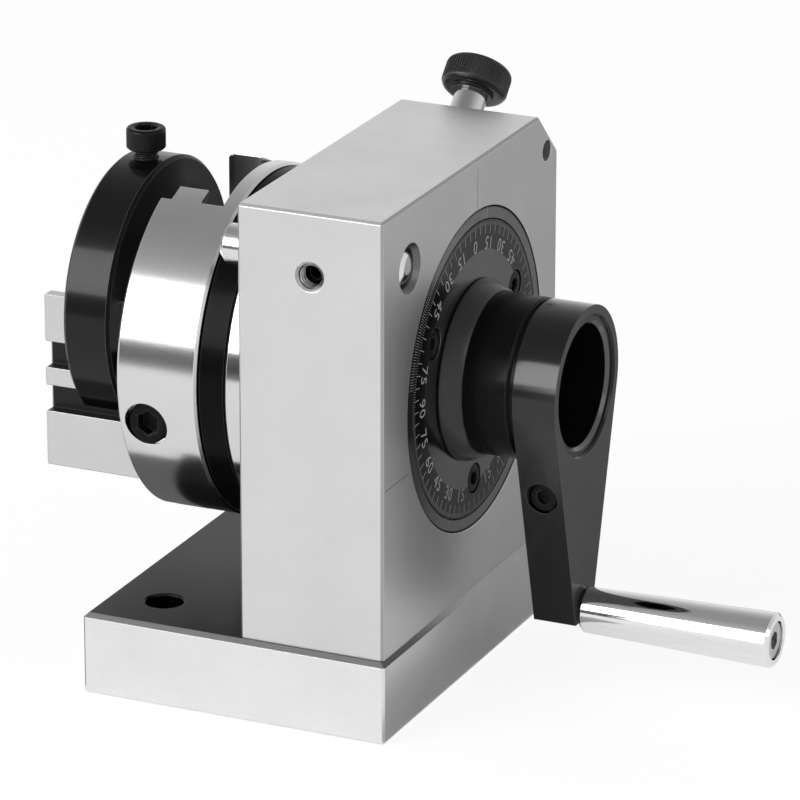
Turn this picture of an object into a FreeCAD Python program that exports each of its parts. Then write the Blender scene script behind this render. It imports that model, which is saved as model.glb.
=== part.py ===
import FreeCAD, Part
import os

import Sketcher

# Smallest distance that still counts as touching
TOUCH = 1e-4

DRIVING = {
    # Base plate
    "base_length": 77.0,
    "base_depth": 103.0,
    "base_thick": 20.0,
    "base_edge": 0.5,
    "base_top_edge": 1.1,
    "base_step_right": 1.0,
    "hold_down_dia": 9.0,
    "hold_down_from_left": 14.0,
    "hold_down_from_end": 14.5,
    "hold_down_bevel": 0.4,
    # Upright housing
    "upright_width": 36.0,
    "upright_depth": 100.0,
    "upright_height": 105.0,
    "upright_edge": 0.6,
    "upright_corner": 11.0,
    "axis_setback": 52.0,
    "axis_height": 54.0,
    # Joint between base and upright
    "base_bolt_dia": 8.0,
    "base_bolt_head_dia": 13.0,
    "base_bolt_grip": 11.0,
    "base_bolt_bite": 16.0,
    "base_bolt_pitch": 60.0,
    "bolt_hole_play": 0.5,
    "dowel_dia": 6.0,
    "dowel_pitch": 86.0,
    "dowel_bite": 10.0,
    # Spindle
    "through_bore_dia": 29.0,
    "flange_thick": 7.7,
    "flange_edge": 0.6,
    "thrust_gap": 1.0,
    "left_journal_dia": 44.0,
    "index_seat_dia": 41.0,
    "right_journal_dia": 38.0,
    "dial_seat_dia": 36.0,
    "nut_thread_dia": 34.5,
    "nose_dia": 33.0,
    "nose_bevel": 0.8,
    "nose_recess": 0.7,
    "running_clear": 0.03,
    # Bushes and bearing cap inside the upright
    "bush_wall": 3.0,
    "left_bush_length": 7.5,
    "cap_dia": 72.0,
    "cavity_dia": 64.0,
    "cavity_width": 10.0,
    # Index disc and its key
    "index_dia": 62.0,
    "index_thick": 8.0,
    "index_side_gap": 1.3,
    "notch_count": 24.0,
    "notch_mouth": 5.0,
    "notch_root": 3.6,
    "notch_floor_clear": 1.0,
    "key_width": 5.0,
    "key_height": 5.0,
    # Dial, its carrier and the fixed vernier ring
    "carrier_dia": 64.0,
    "carrier_thick": 4.0,
    "carrier_gap": 0.4,
    "dial_dia": 70.4,
    "dial_thick": 5.5,
    "dial_recess": 0.2,
    "vernier_thick": 4.0,
    "vernier_dia": 76.6,
    "vernier_bore_dia": 71.0,
    "vernier_gap": 0.3,
    "dial_screw_circle_dia": 54.0,
    "dial_screw_dia": 4.0,
    "dial_screw_head_dia": 7.0,
    "dial_screw_head_play": 0.4,
    "dial_screw_head_height": 3.5,
    "dial_screw_sink": 0.1,
    "dial_screw_bite": 3.5,
    # Thrust collar, lock nut and crank
    "collar_dia": 43.4,
    "collar_thick": 5.1,
    "collar_bevel": 1.6,
    "nut_dia": 38.2,
    "nut_length": 11.2,
    "nut_bevel": 0.5,
    "crank_gap": 1.3,
    "spacer_dia": 36.4,
    "boss_dia": 38.1,
    "arm_thick": 10.6,
    "arm_reach": 55.2,
    "arm_end_half": 4.9,
    "arm_tail": 2.6,
    "crank_screw_drop": 24.0,
    "crank_screw_dia": 4.0,
    "crank_screw_head_dia": 7.0,
    "crank_screw_head_height": 4.0,
    "crank_screw_seat": 8.5,
    "crank_screw_length": 14.0,
    # Revolving handle
    "sleeve_dia": 10.8,
    "sleeve_end_dia": 13.0,
    "sleeve_length": 47.5,
    "sleeve_gap": 0.5,
    "sleeve_edge": 0.7,
    "handle_pin_dia": 6.0,
    "handle_thread_dia": 5.0,
    "handle_thread_bite": 8.0,
    "handle_head_dia": 8.6,
    "handle_head_height": 4.0,
    "handle_head_sink": 0.5,
    "handle_head_play": 0.3,
    # Stop ring and drum
    "stop_ring_step": 0.8,
    "stop_ring_thick": 7.2,
    "spigot_dia": 40.0,
    "drum_dia": 84.0,
    "drum_edge": 0.6,
    "drum_web": 3.9,
    "slot_chamber": 5.8,
    "slot_rib": 7.4,
    "slot_mouth": 3.3,
    "slot_half_width": 18.5,
    "slot_rib_half": 14.1,
    "drum_screw_circle_dia": 68.0,
    "drum_screw_angle": 40.0,
    "drum_screw_dia": 5.0,
    "drum_screw_head_dia": 8.5,
    "drum_screw_head_height": 5.0,
    "drum_screw_head_play": 0.5,
    "drum_screw_bite": 5.5,
    # Slide lock screw in the drum's rim
    "lock_screw_drop": 10.0,
    "lock_screw_dia": 6.0,
    "lock_screw_head_dia": 10.0,
    "lock_screw_head_height": 6.0,
    "lock_screw_head_play": 0.4,
    "lock_screw_sink": 0.8,
    # V-block with its tongue
    "slide_clear": 0.1,
    "block_gap": 0.3,
    "block_length": 26.7,
    "block_half_width": 26.0,
    "block_below": 29.8,
    "block_above": 12.6,
    "block_edge": 0.5,
    "side_groove_depth": 3.0,
    "side_groove_height": 6.5,
    "low_groove_floor": 16.4,
    "high_groove_floor": 5.5,
    "vee_land": 3.0,
    "vee_relief_half": 1.0,
    "vee_relief_depth": 2.5,
    # Clamp yoke and clamp screw
    "yoke_wall": 6.7,
    "yoke_lift": 8.0,
    "yoke_thick": 12.0,
    "yoke_standoff": 6.6,
    "yoke_edge": 0.8,
    "yoke_clear": 0.25,
    "hook_lift": 1.8,
    "yoke_arch_dia": 35.0,
    "clamp_screw_dia": 6.0,
    "clamp_screw_head_dia": 9.4,
    "clamp_screw_head_height": 5.2,
    "clamp_screw_lift": 2.2,
    "clamp_screw_length": 30.0,
    "thread_clear": 0.05,
    # Index plunger
    "plunger_dia": 8.0,
    "plunger_tip_dia": 4.4,
    "plunger_tip_end_dia": 3.2,
    "plunger_tip_length": 5.0,
    "plunger_stroke": 5.0,
    "plunger_tip_clear": 0.6,
    "plunger_collar_dia": 12.0,
    "plunger_collar_thick": 2.5,
    "plunger_collar_up": 13.6,
    "chamber_dia": 13.0,
    "chamber_floor_clear": 1.0,
    "plug_dia": 14.0,
    "plug_length": 10.0,
    "spring_wire_thick": 0.9,
    "spring_wire_bevel": 0.2,
    "spring_turns": 5.0,
    "spring_mean_dia": 10.4,
    "knob_gap": 8.2,
    "knob_dia": 16.2,
    "knob_height": 7.8,
    "knob_edge": 1.6,
    "knob_hub_dia": 10.4,
    "knob_hub_drop": 0.8,
    "knob_spigot_dia": 5.0,
    "knob_spigot_length": 5.5,
    "knob_grooves": 40.0,
    "knob_groove_depth": 0.35,
    "plug_screw_dia": 5.0,
    "plug_screw_length": 8.0,
    "plug_screw_up": 58.6,
    # Stop pin and its set screw
    "stop_pin_dia": 9.4,
    "stop_pin_setback": 14.7,
    "stop_pin_drop": 15.0,
    "stop_pin_out": 9.8,
    "stop_pin_sunk": 0.6,
    "stop_pin_bevel": 1.2,
    "stop_pin_dome": 3.2,
    "stop_hole_bevel": 1.2,
    "pin_screw_dia": 6.0,
    "pin_screw_length": 6.0,
    "set_screw_bevel": 0.6,
    # Hexagon sockets, across flats
    "socket_large": 6.0,
    "socket_medium": 5.0,
    "socket_small": 4.0,
    "socket_fine": 3.0,
    "socket_depth": 3.0,
    "socket_shallow": 1.8,
}

FITS = {
    "face_right": "=sizes.base_length / 2 - sizes.base_step_right",
    "face_left": "=face_right - sizes.upright_width",
    "upright_mid": "=(face_left + face_right) / 2",
    "axis_y": "=sizes.axis_setback - sizes.upright_depth / 2",
    "axis_z": "=sizes.base_thick + sizes.axis_height",
    "upright_top": "=sizes.base_thick + sizes.upright_height",
    # Stations along the spindle, left of the upright
    "flange_right": "=face_left - sizes.thrust_gap",
    "flange_left": "=flange_right - sizes.flange_thick",
    "ring_left": "=flange_left - sizes.stop_ring_thick",
    "slot_floor": "=ring_left - sizes.drum_web",
    "rib_right": "=slot_floor - sizes.slot_chamber",
    "rib_left": "=rib_right - sizes.slot_rib",
    "drum_left": "=rib_left - sizes.slot_mouth",
    "block_right": "=drum_left - sizes.block_gap",
    "block_left": "=block_right - sizes.block_length",
    "yoke_right": "=drum_left - sizes.yoke_standoff",
    "yoke_mid": "=yoke_right - sizes.yoke_thick / 2",
    "yoke_dia": "=2 * (sizes.block_half_width + sizes.yoke_wall)",
    "stop_ring_dia": "=sizes.drum_dia - 2 * sizes.stop_ring_step",
    # Stations along the spindle, inside and right of the upright
    "cavity_left": "=face_left + sizes.left_bush_length",
    "index_left": "=cavity_left + sizes.index_side_gap",
    "index_right": "=index_left + sizes.index_thick",
    "dial_front": "=face_right - sizes.dial_recess",
    "dial_back": "=dial_front - sizes.dial_thick",
    "carrier_left": "=dial_back - sizes.carrier_thick",
    "cap_right": "=carrier_left - sizes.carrier_gap",
    "cap_left": "=cavity_left + sizes.cavity_width",
    "collar_right": "=dial_front + sizes.collar_thick",
    "nut_right": "=collar_right + sizes.nut_length",
    "crank_left": "=nut_right + sizes.crank_gap",
    "crank_right": "=crank_left + sizes.arm_thick",
    "lock_seat": "=sqrt((sizes.drum_dia / 2) ^ 2 - sizes.lock_screw_drop ^ 2)"
                 " - sizes.lock_screw_sink - sizes.lock_screw_head_height",
    "nose_end": "=crank_right - sizes.nose_recess",
    "vernier_seat": "=dial_front - sizes.vernier_thick",
    "sleeve_left": "=crank_right + sizes.sleeve_gap",
    "sleeve_right": "=sleeve_left + sizes.sleeve_length",
    "handle_head_base": "=sleeve_right - sizes.handle_head_sink - sizes.handle_head_height",
    # Where the crank's straight flanks leave the round boss
    "arm_drop": "=sizes.arm_reach + sizes.arm_tail",
    "flank_angle": "=acos(sizes.boss_dia / 2 / sqrt(arm_drop ^ 2 + sizes.arm_end_half ^ 2))"
                   " - atan(arm_drop / sizes.arm_end_half)",
    # Plunger stations, measured from the spindle axis along the plunger
    "corner_face": "=(sizes.upright_depth / 2 - axis_y + upright_top - axis_z"
                   " - sizes.upright_corner) / sqrt(2)",
    "plunger_x": "=index_left + sizes.index_thick / 2",
    "notch_floor": "=sizes.index_dia / 2 - sizes.plunger_stroke + sizes.plunger_tip_clear"
                   " - sizes.notch_floor_clear",
    "tip_end": "=sizes.index_dia / 2 + sizes.plunger_tip_clear",
    "collar_base": "=tip_end + sizes.plunger_collar_up",
    "chamber_floor": "=collar_base - sizes.plunger_stroke - sizes.chamber_floor_clear",
    "plug_base": "=corner_face - sizes.plug_length",
    "knob_base": "=corner_face + sizes.knob_gap",
    "collar_top": "=collar_base + sizes.plunger_collar_thick",
}

doc = FreeCAD.newDocument("punch_former")


def make_sheet(name, cells):
    """Spreadsheet with one named cell for each entry."""
    sheet = doc.addObject("Spreadsheet::Sheet", name)
    for row, (alias, content) in enumerate(cells.items(), start=1):
        sheet.set(f"A{row}", alias)
        sheet.set(f"B{row}", str(content))
        sheet.setAlias(f"B{row}", alias)
    doc.recompute()
    return sheet


sizes = make_sheet("sizes", DRIVING)
fits = make_sheet("fits", FITS)


def number(expression):
    """Present value of an expression over the two sheets."""
    return float(fits.evalExpression(expression))


def turn(along_u, along_v, along_w):
    """Rotation that carries the local axes to three given directions."""
    columns = [FreeCAD.Vector(*axis).normalize() for axis in (along_u, along_v, along_w)]
    matrix = FreeCAD.Matrix()
    for column, axis in enumerate(columns):
        for row, part in enumerate(axis):
            setattr(matrix, f"A{row + 1}{column + 1}", part)
    return FreeCAD.Rotation(matrix)


# Each way names the direction in which a sketch is pushed or a turned piece points
WAYS = {
    "up": turn((1, 0, 0), (0, 1, 0), (0, 0, 1)),
    "down": turn((1, 0, 0), (0, -1, 0), (0, 0, -1)),
    "right": turn((0, 1, 0), (0, 0, 1), (1, 0, 0)),
    "left": turn((0, -1, 0), (0, 0, 1), (-1, 0, 0)),
    "back": turn((0, 0, 1), (1, 0, 0), (0, 1, 0)),
    "front": turn((1, 0, 0), (0, 0, 1), (0, -1, 0)),
    "plunger": turn((1, 0, 0), (0, 1, -1), (0, 1, 1)),
    "index": turn((0, 1, 1), (0, -1, 1), (1, 0, 0)),
    "keyed": turn((1, 1, 0), (-1, 1, 0), (0, 0, 1)),
}

ON_AXIS = ("0", "fits.axis_y", "fits.axis_z")
HERE = ("0", "0", "0")


def new_body(label, way="up", origin=HERE):
    """Empty body whose place follows three expressions."""
    body = doc.addObject("PartDesign::Body", label)
    body.Label = label
    body.AllowCompound = True
    body.Placement = FreeCAD.Placement(FreeCAD.Vector(), WAYS[way])
    for axis, expression in zip("xyz", origin):
        body.setExpression(f"Placement.Base.{axis}", expression)
    return body


def origin_feature(body, role):
    """One of the body's own base planes or axes."""
    return next(item for item in body.Origin.OriginFeatures if item.Role == role)


def new_sketch(body, name, way, origin):
    """Sketch across the given way, with its zero at three expressions."""
    sketch = body.newObject("Sketcher::SketchObject", name)
    sketch.AttachmentSupport = (origin_feature(body, "XY_Plane"), [""])
    sketch.MapMode = "FlatFace"
    sketch.AttachmentOffset = FreeCAD.Placement(FreeCAD.Vector(), WAYS[way])
    for axis, expression in zip("xyz", origin):
        sketch.setExpression(f"AttachmentOffset.Base.{axis}", expression)
    return sketch


def bind(sketch, kind, where, expression):
    """Dimension in a sketch, tied to an expression."""
    index = sketch.addConstraint(Sketcher.Constraint(kind, *where, number(expression)))
    sketch.setExpression(f"Constraints[{index}]", expression)


def outline(*corners):
    """Closed loop of straight lines through the given corners."""
    def draw(sketch):
        first = sketch.GeometryCount
        spots = [FreeCAD.Vector(number(u), number(v), 0) for u, v in corners]
        for start, end in zip(spots, spots[1:] + spots[:1]):
            sketch.addGeometry(Part.LineSegment(start, end), False)
        for place, (u, v) in enumerate(corners):
            following = first + (place + 1) % len(corners)
            sketch.addConstraint(Sketcher.Constraint("Coincident", first + place, 2, following, 1))
            bind(sketch, "DistanceX", (-1, 1, first + place, 1), u)
            bind(sketch, "DistanceY", (-1, 1, first + place, 1), v)
    return draw


def frame_of(low_u, high_u, low_v, high_v):
    """Rectangle between four coordinates."""
    return outline((low_u, low_v), (high_u, low_v), (high_u, high_v), (low_u, high_v))


def circle(diameter, u="0", v="0"):
    """Circle of a given diameter about a point."""
    def draw(sketch):
        centre = FreeCAD.Vector(number(u), number(v), 0)
        ring = Part.Circle(centre, FreeCAD.Vector(0, 0, 1), number(diameter) / 2)
        place = sketch.addGeometry(ring, False)
        bind(sketch, "DistanceX", (-1, 1, place, 3), u)
        bind(sketch, "DistanceY", (-1, 1, place, 3), v)
        bind(sketch, "Diameter", (place,), diameter)
    return draw


def hexagon(flats, u="0", v="0"):
    """Hexagon of a given width across its flats, two of them upright."""
    half = f"({flats}) / 2"
    side = f"({flats}) / 2 / sqrt(3)"
    return outline(
        (f"{u} + {half}", f"{v} - {side}"), (f"{u} + {half}", f"{v} + {side}"),
        (u, f"{v} + 2 * {side}"),
        (f"{u} - {half}", f"{v} + {side}"), (f"{u} - {half}", f"{v} - {side}"),
        (u, f"{v} - 2 * {side}"))


def push(body, kind, name, way, origin, length, *loops):
    """Pad or pocket that runs from the sketch along the given way."""
    sketch = new_sketch(body, f"{name}_sketch", way, origin)
    for loop in loops:
        loop(sketch)
    feature = body.newObject(f"PartDesign::{kind}", name)
    feature.Profile = sketch
    feature.setExpression("Length", length)
    feature.Reversed = kind == "Pocket"
    before = body.Shape.Volume if kind == "Pocket" else 0
    doc.recompute()
    if kind == "Pocket" and body.Shape.Volume >= before:
        raise ValueError(f"{name} in {body.Label} cuts nothing")
    return feature


def pad(body, name, way, origin, length, *loops):
    return push(body, "Pad", name, way, origin, length, *loops)


def cut(body, name, way, origin, length, *loops):
    return push(body, "Pocket", name, way, origin, length, *loops)


def turned(label, way, origin, *corners):
    """Body turned about its own length, from corners of radius and height."""
    body = new_body(label, way, origin)
    sketch = new_sketch(body, f"{label}_profile", "front", HERE)
    outline(*corners)(sketch)
    feature = body.newObject("PartDesign::Revolution", f"{label}_turn")
    feature.Profile = sketch
    feature.ReferenceAxis = (sketch, ["V_Axis"])
    feature.Angle = 360
    doc.recompute()
    return body


def around(body, name, features, count):
    """Equal copies of features about the body's own length."""
    pattern = body.newObject("PartDesign::PolarPattern", name)
    pattern.Originals = features
    pattern.Axis = (origin_feature(body, "Z_Axis"), [""])
    pattern.Angle = 360
    pattern.setExpression("Occurrences", count)
    body.Tip = pattern
    doc.recompute()
    return pattern


def edge_names(feature, wanted):
    """Names of the edges whose ends, middle and length pass a test."""
    names = []
    for place, edge in enumerate(feature.Shape.Edges, start=1):
        if wanted(edge):
            names.append(f"Edge{place}")
    return names


def bevel(body, name, size, wanted):
    """Chamfer on every edge of the body's tip that passes a test."""
    base = body.Tip
    feature = body.newObject("PartDesign::Chamfer", name)
    feature.Base = (base, edge_names(base, wanted))
    feature.setExpression("Size", size)
    doc.recompute()
    return feature


def rounded(body, name, radius, wanted):
    """Fillet on every edge of the body's tip that passes a test."""
    base = body.Tip
    feature = body.newObject("PartDesign::Fillet", name)
    feature.Base = (base, edge_names(base, wanted))
    feature.setExpression("Radius", radius)
    doc.recompute()
    return feature


def cap_screw(body, name, way, origin, head, shank, socket, place=("0", "0")):
    """Socket-head screw: origin under the head, the way points out of the head."""
    head_dia, head_height = head
    shank_dia, shank_length = shank
    flats, depth = socket
    x, y, z = origin
    axis = [round(part) for part in WAYS[way].multVec(FreeCAD.Vector(0, 0, 1))]

    def shifted(distance):
        return tuple(f"{at} + ({distance}) * ({part})" for at, part in zip((x, y, z), axis))

    u, v = place
    top = pad(body, f"{name}_head", way, origin, head_height, circle(head_dia, u, v))
    stem = pad(body, f"{name}_shank", way, shifted(f"-({shank_length})"), shank_length,
               circle(shank_dia, u, v))
    hollow = cut(body, f"{name}_socket", way, shifted(f"{head_height} - {depth}"), depth,
                 hexagon(flats, u, v))
    return [top, stem, hollow]


def is_ring(edge, diameter, axis="x", place=None):
    """True for a full circle of a given diameter, at a given station if one is named."""
    if not isinstance(edge.Curve, Part.Circle):
        return False
    if abs(edge.Curve.Radius - number(diameter) / 2) > TOUCH:
        return False
    return place is None or abs(getattr(edge.Curve.Center, axis) - number(place)) < TOUCH


# Base plate: ground block with two hold-down holes beside the upright

LEFT, RIGHT = "-sizes.base_length / 2", "sizes.base_length / 2"
FRONT, BACK = "-sizes.base_depth / 2", "sizes.base_depth / 2"

base_plate = new_body("base_plate")
pad(base_plate, "plate", "up", HERE, "sizes.base_thick", frame_of(LEFT, RIGHT, FRONT, BACK))
bevel(base_plate, "top_edges", "sizes.base_top_edge",
      lambda edge: edge.BoundBox.ZMin > number("sizes.base_thick") - TOUCH)
bevel(base_plate, "other_edges", "sizes.base_edge",
      lambda edge: edge.BoundBox.ZMin < TOUCH)
hold_down_x = f"{LEFT} + sizes.hold_down_from_left"
hold_down_y = f"{BACK} - sizes.hold_down_from_end"
cut(base_plate, "hold_downs", "up", HERE, "sizes.base_thick",
    circle("sizes.hold_down_dia", hold_down_x, f"-({hold_down_y})"),
    circle("sizes.hold_down_dia", hold_down_x, hold_down_y))
bevel(base_plate, "hold_down_bevels", "sizes.hold_down_bevel",
      lambda edge: is_ring(edge, "sizes.hold_down_dia", "z", "sizes.base_thick"))


def twin_circles(diameter, pitch):
    """Two circles under the upright, one each side of the middle."""
    return [circle(diameter, "fits.upright_mid", f"{side} * {pitch} / 2") for side in (-1, 1)]


cut(base_plate, "bolt_holes", "up", HERE, "sizes.base_thick",
    *twin_circles("sizes.base_bolt_dia + sizes.bolt_hole_play", "sizes.base_bolt_pitch"))
cut(base_plate, "bolt_head_holes", "up", HERE, "sizes.base_thick - sizes.base_bolt_grip",
    *twin_circles("sizes.base_bolt_head_dia + sizes.bolt_hole_play", "sizes.base_bolt_pitch"))
DOWEL_FOOT = ("0", "0", "sizes.base_thick - sizes.dowel_bite")
cut(base_plate, "dowel_holes", "up", DOWEL_FOOT, "sizes.dowel_bite",
    *twin_circles("sizes.dowel_dia", "sizes.dowel_pitch"))

# Upright housing: ground block with one cut corner, stepped for the spindle

HOUSE_FRONT, HOUSE_BACK = "-sizes.upright_depth / 2", "sizes.upright_depth / 2"

upright = new_body("upright_housing")
pad(upright, "block", "right", ("fits.face_left", "0", "0"), "sizes.upright_width",
    outline((HOUSE_FRONT, "sizes.base_thick"), (HOUSE_BACK, "sizes.base_thick"),
            (HOUSE_BACK, "fits.upright_top - sizes.upright_corner"),
            (f"{HOUSE_BACK} - sizes.upright_corner", "fits.upright_top"),
            (HOUSE_FRONT, "fits.upright_top")))
bevel(upright, "block_edges", "sizes.upright_edge",
      lambda edge: edge.BoundBox.ZMax > number("sizes.base_thick") + TOUCH)


def axis_at(station):
    """Point on the spindle axis at a station."""
    return (station, "fits.axis_y", "fits.axis_z")


cut(upright, "bush_bore", "right", axis_at("fits.face_left"), "sizes.left_bush_length",
    circle("sizes.left_journal_dia + 2 * sizes.bush_wall"))
cut(upright, "index_cavity", "right", axis_at("fits.cavity_left"), "sizes.cavity_width",
    circle("sizes.cavity_dia"))
cut(upright, "cap_bore", "right", axis_at("fits.cap_left"), "fits.vernier_seat - fits.cap_left",
    circle("sizes.cap_dia"))
cut(upright, "dial_recess", "right", axis_at("fits.vernier_seat"), "fits.face_right - fits.vernier_seat",
    circle("sizes.vernier_dia + 2 * sizes.vernier_gap"))
cut(upright, "base_bolt_threads", "up", ("0", "0", "sizes.base_thick"), "sizes.base_bolt_bite",
    *twin_circles("sizes.base_bolt_dia + 2 * sizes.thread_clear", "sizes.base_bolt_pitch"))
cut(upright, "dowel_sockets", "up", ("0", "0", "sizes.base_thick"), "sizes.dowel_bite",
    *twin_circles("sizes.dowel_dia", "sizes.dowel_pitch"))


def plunger_at(distance):
    """Point on the plunger's axis at a distance from the spindle axis."""
    return ("fits.plunger_x", f"fits.axis_y + ({distance}) / sqrt(2)",
            f"fits.axis_z + ({distance}) / sqrt(2)")


cut(upright, "plunger_guide", "plunger", plunger_at("sizes.index_dia / 2"),
    "fits.plug_base - sizes.index_dia / 2", circle("sizes.plunger_dia + 2 * sizes.running_clear"))
cut(upright, "spring_chamber", "plunger", plunger_at("fits.chamber_floor"),
    "fits.plug_base - fits.chamber_floor", circle("sizes.chamber_dia"))
cut(upright, "plug_bore", "plunger", plunger_at("fits.plug_base"), "2 * sizes.plug_length",
    circle("sizes.plug_dia"))
cut(upright, "plug_screw_hole", "right", ("fits.plunger_x", "0", "0"), "fits.face_right - fits.plunger_x",
    circle("sizes.plug_screw_dia + 2 * sizes.thread_clear",
           "fits.axis_y + sizes.plug_screw_up / sqrt(2)", "fits.axis_z + sizes.plug_screw_up / sqrt(2)"))
PIN_Y, PIN_Z = f"{HOUSE_FRONT} + sizes.stop_pin_setback", "fits.upright_top - sizes.stop_pin_drop"
cut(upright, "stop_pin_hole", "right", ("fits.face_left", PIN_Y, PIN_Z), "sizes.upright_width",
    circle("sizes.stop_pin_dia + 2 * sizes.running_clear"))
bevel(upright, "stop_hole_bevel", "sizes.stop_hole_bevel",
      lambda edge: is_ring(edge, "sizes.stop_pin_dia + 2 * sizes.running_clear", "x", "fits.face_right"))
cut(upright, "pin_screw_hole", "back", ("fits.upright_mid", HOUSE_FRONT, PIN_Z), "sizes.stop_pin_setback",
    circle("sizes.pin_screw_dia + 2 * sizes.thread_clear"))
bevel(upright, "pin_screw_bevel", "sizes.set_screw_bevel",
      lambda edge: is_ring(edge, "sizes.pin_screw_dia + 2 * sizes.thread_clear", "y", HOUSE_FRONT))

# Bolts and dowels that join the upright to the base from below

base_bolts = new_body("base_bolts")
for side, name in ((-1, "front_bolt"), (1, "back_bolt")):
    cap_screw(base_bolts, name, "down",
              ("fits.upright_mid", f"{side} * sizes.base_bolt_pitch / 2",
               "sizes.base_thick - sizes.base_bolt_grip"),
              ("sizes.base_bolt_head_dia", "sizes.base_bolt_dia"),
              ("sizes.base_bolt_dia",
               "sizes.base_bolt_grip + sizes.base_bolt_bite - 2 * sizes.bolt_hole_play"),
              ("sizes.socket_large", "sizes.socket_depth"))
dowel_pins = new_body("dowel_pins")
pad(dowel_pins, "pins", "up", DOWEL_FOOT, "2 * sizes.dowel_bite",
    *twin_circles("sizes.dowel_dia", "sizes.dowel_pitch"))

# Spindle: hollow steel shaft with its flange, journals and keyway


def half(size):
    """Half of a named size."""
    return f"sizes.{size} / 2"


spindle = turned(
    "spindle", "right", ON_AXIS,
    (half("through_bore_dia"), "fits.ring_left"), (half("spigot_dia"), "fits.ring_left"),
    (half("spigot_dia"), "fits.flange_left"),
    (f"{half('drum_dia')} - sizes.flange_edge", "fits.flange_left"),
    (half("drum_dia"), "fits.flange_left + sizes.flange_edge"),
    (half("drum_dia"), "fits.flange_right"), (half("left_journal_dia"), "fits.flange_right"),
    (half("left_journal_dia"), "fits.index_left"), (half("index_seat_dia"), "fits.index_left"),
    (half("index_seat_dia"), "fits.index_right"), (half("right_journal_dia"), "fits.index_right"),
    (half("right_journal_dia"), "fits.carrier_left"), (half("dial_seat_dia"), "fits.carrier_left"),
    (half("dial_seat_dia"), "fits.collar_right"), (half("nut_thread_dia"), "fits.collar_right"),
    (half("nut_thread_dia"), "fits.nut_right"), (half("nose_dia"), "fits.nut_right"),
    (half("nose_dia"), "fits.nose_end"),
    (f"{half('through_bore_dia')} + sizes.nose_bevel", "fits.nose_end"),
    (half("through_bore_dia"), "fits.nose_end - sizes.nose_bevel"))
KEY_OUTER = "-(sizes.index_seat_dia + sizes.key_height) / 2"
KEY_INNER = "-(sizes.index_seat_dia - sizes.key_height) / 2"
KEY_SIDES = ("-sizes.key_width / 2", "sizes.key_width / 2")
cut(spindle, "keyway", "keyed", ("0", "0", "fits.index_left"), "sizes.index_thick",
    frame_of(KEY_OUTER, KEY_INNER, *KEY_SIDES))
DRUM_SCREW_SPOTS = [
    (f"{across} * sizes.drum_screw_circle_dia / 2 * cos(sizes.drum_screw_angle)",
     f"{rise} * sizes.drum_screw_circle_dia / 2 * sin(sizes.drum_screw_angle)")
    for across in (-1, 1) for rise in (-1, 1)]
DRUM_SCREW_HOLE = "sizes.drum_screw_dia + 2 * sizes.thread_clear"
cut(spindle, "drum_screw_threads", "up", ("0", "0", "fits.flange_left"), "sizes.drum_screw_bite",
    *(circle(DRUM_SCREW_HOLE, u, v) for u, v in DRUM_SCREW_SPOTS))

index_key = new_body("index_key", "index", ON_AXIS)
pad(index_key, "key", "up", ("0", "0", "fits.index_left"), "sizes.index_thick",
    frame_of(KEY_OUTER, KEY_INNER, *KEY_SIDES))

# Bushes and the cap that closes the index cavity


def ring_between(label, inner, outer, left, right):
    """Plain ring on the spindle axis between two stations."""
    return turned(label, "right", ON_AXIS, (inner, left), (outer, left), (outer, right), (inner, right))


ring_between("left_bush", "sizes.left_journal_dia / 2 + sizes.running_clear",
             "sizes.left_journal_dia / 2 + sizes.bush_wall", "fits.face_left", "fits.cavity_left")
ring_between("right_bush", "sizes.right_journal_dia / 2 + sizes.running_clear",
             "sizes.right_journal_dia / 2 + sizes.bush_wall", "fits.cap_left", "fits.cap_right")
ring_between("bearing_cap", "sizes.right_journal_dia / 2 + sizes.bush_wall", "sizes.cap_dia / 2",
             "fits.cap_left", "fits.cap_right")

# Index disc: tapered notches round its rim, one of them facing the plunger

index_disc = turned(
    "index_disc", "index", ON_AXIS,
    (half("index_seat_dia"), "fits.index_left"), (half("index_dia"), "fits.index_left"),
    (half("index_dia"), "fits.index_right"), (half("index_seat_dia"), "fits.index_right"))
cut(index_disc, "disc_keyway", "up", ("0", "0", "fits.index_left"), "sizes.index_thick",
    frame_of(KEY_OUTER, KEY_INNER, *KEY_SIDES))
NOTCH_TOP = "sizes.index_dia / 2 + sizes.plunger_tip_clear"
notch = cut(index_disc, "notch", "up", ("0", "0", "fits.index_left"), "sizes.index_thick",
            outline(("fits.notch_floor", "-sizes.notch_root / 2"), (NOTCH_TOP, "-sizes.notch_mouth / 2"),
                    (NOTCH_TOP, "sizes.notch_mouth / 2"), ("fits.notch_floor", "sizes.notch_root / 2")))
around(index_disc, "notches", [notch], "sizes.notch_count")

# Dial with its carrier behind it, inside the fixed vernier ring

dial_carrier = ring_between("dial_carrier", half("dial_seat_dia"), half("carrier_dia"),
                            "fits.carrier_left", "fits.dial_back")
DIAL_SCREW_V = "-sizes.dial_screw_circle_dia / 2"
carrier_thread = cut(dial_carrier, "carrier_thread", "up", ("0", "0", "fits.carrier_left"),
                     "sizes.carrier_thick",
                     circle("sizes.dial_screw_dia + 2 * sizes.thread_clear", "0", DIAL_SCREW_V))
around(dial_carrier, "carrier_threads", [carrier_thread], "3")
dial_plate = ring_between("dial_plate", half("dial_seat_dia"), half("dial_dia"),
                          "fits.dial_back", "fits.dial_front")
DIAL_SEAT = "sizes.dial_screw_head_height + sizes.dial_screw_sink"
dial_hole = cut(dial_plate, "dial_hole", "up", ("0", "0", "fits.dial_back"), "sizes.dial_thick",
                circle("sizes.dial_screw_dia + sizes.dial_screw_head_play", "0", DIAL_SCREW_V))
dial_seat = cut(dial_plate, "dial_seat", "up", ("0", "0", f"fits.dial_front - ({DIAL_SEAT})"), DIAL_SEAT,
                circle("sizes.dial_screw_head_dia + sizes.dial_screw_head_play", "0", DIAL_SCREW_V))
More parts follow.
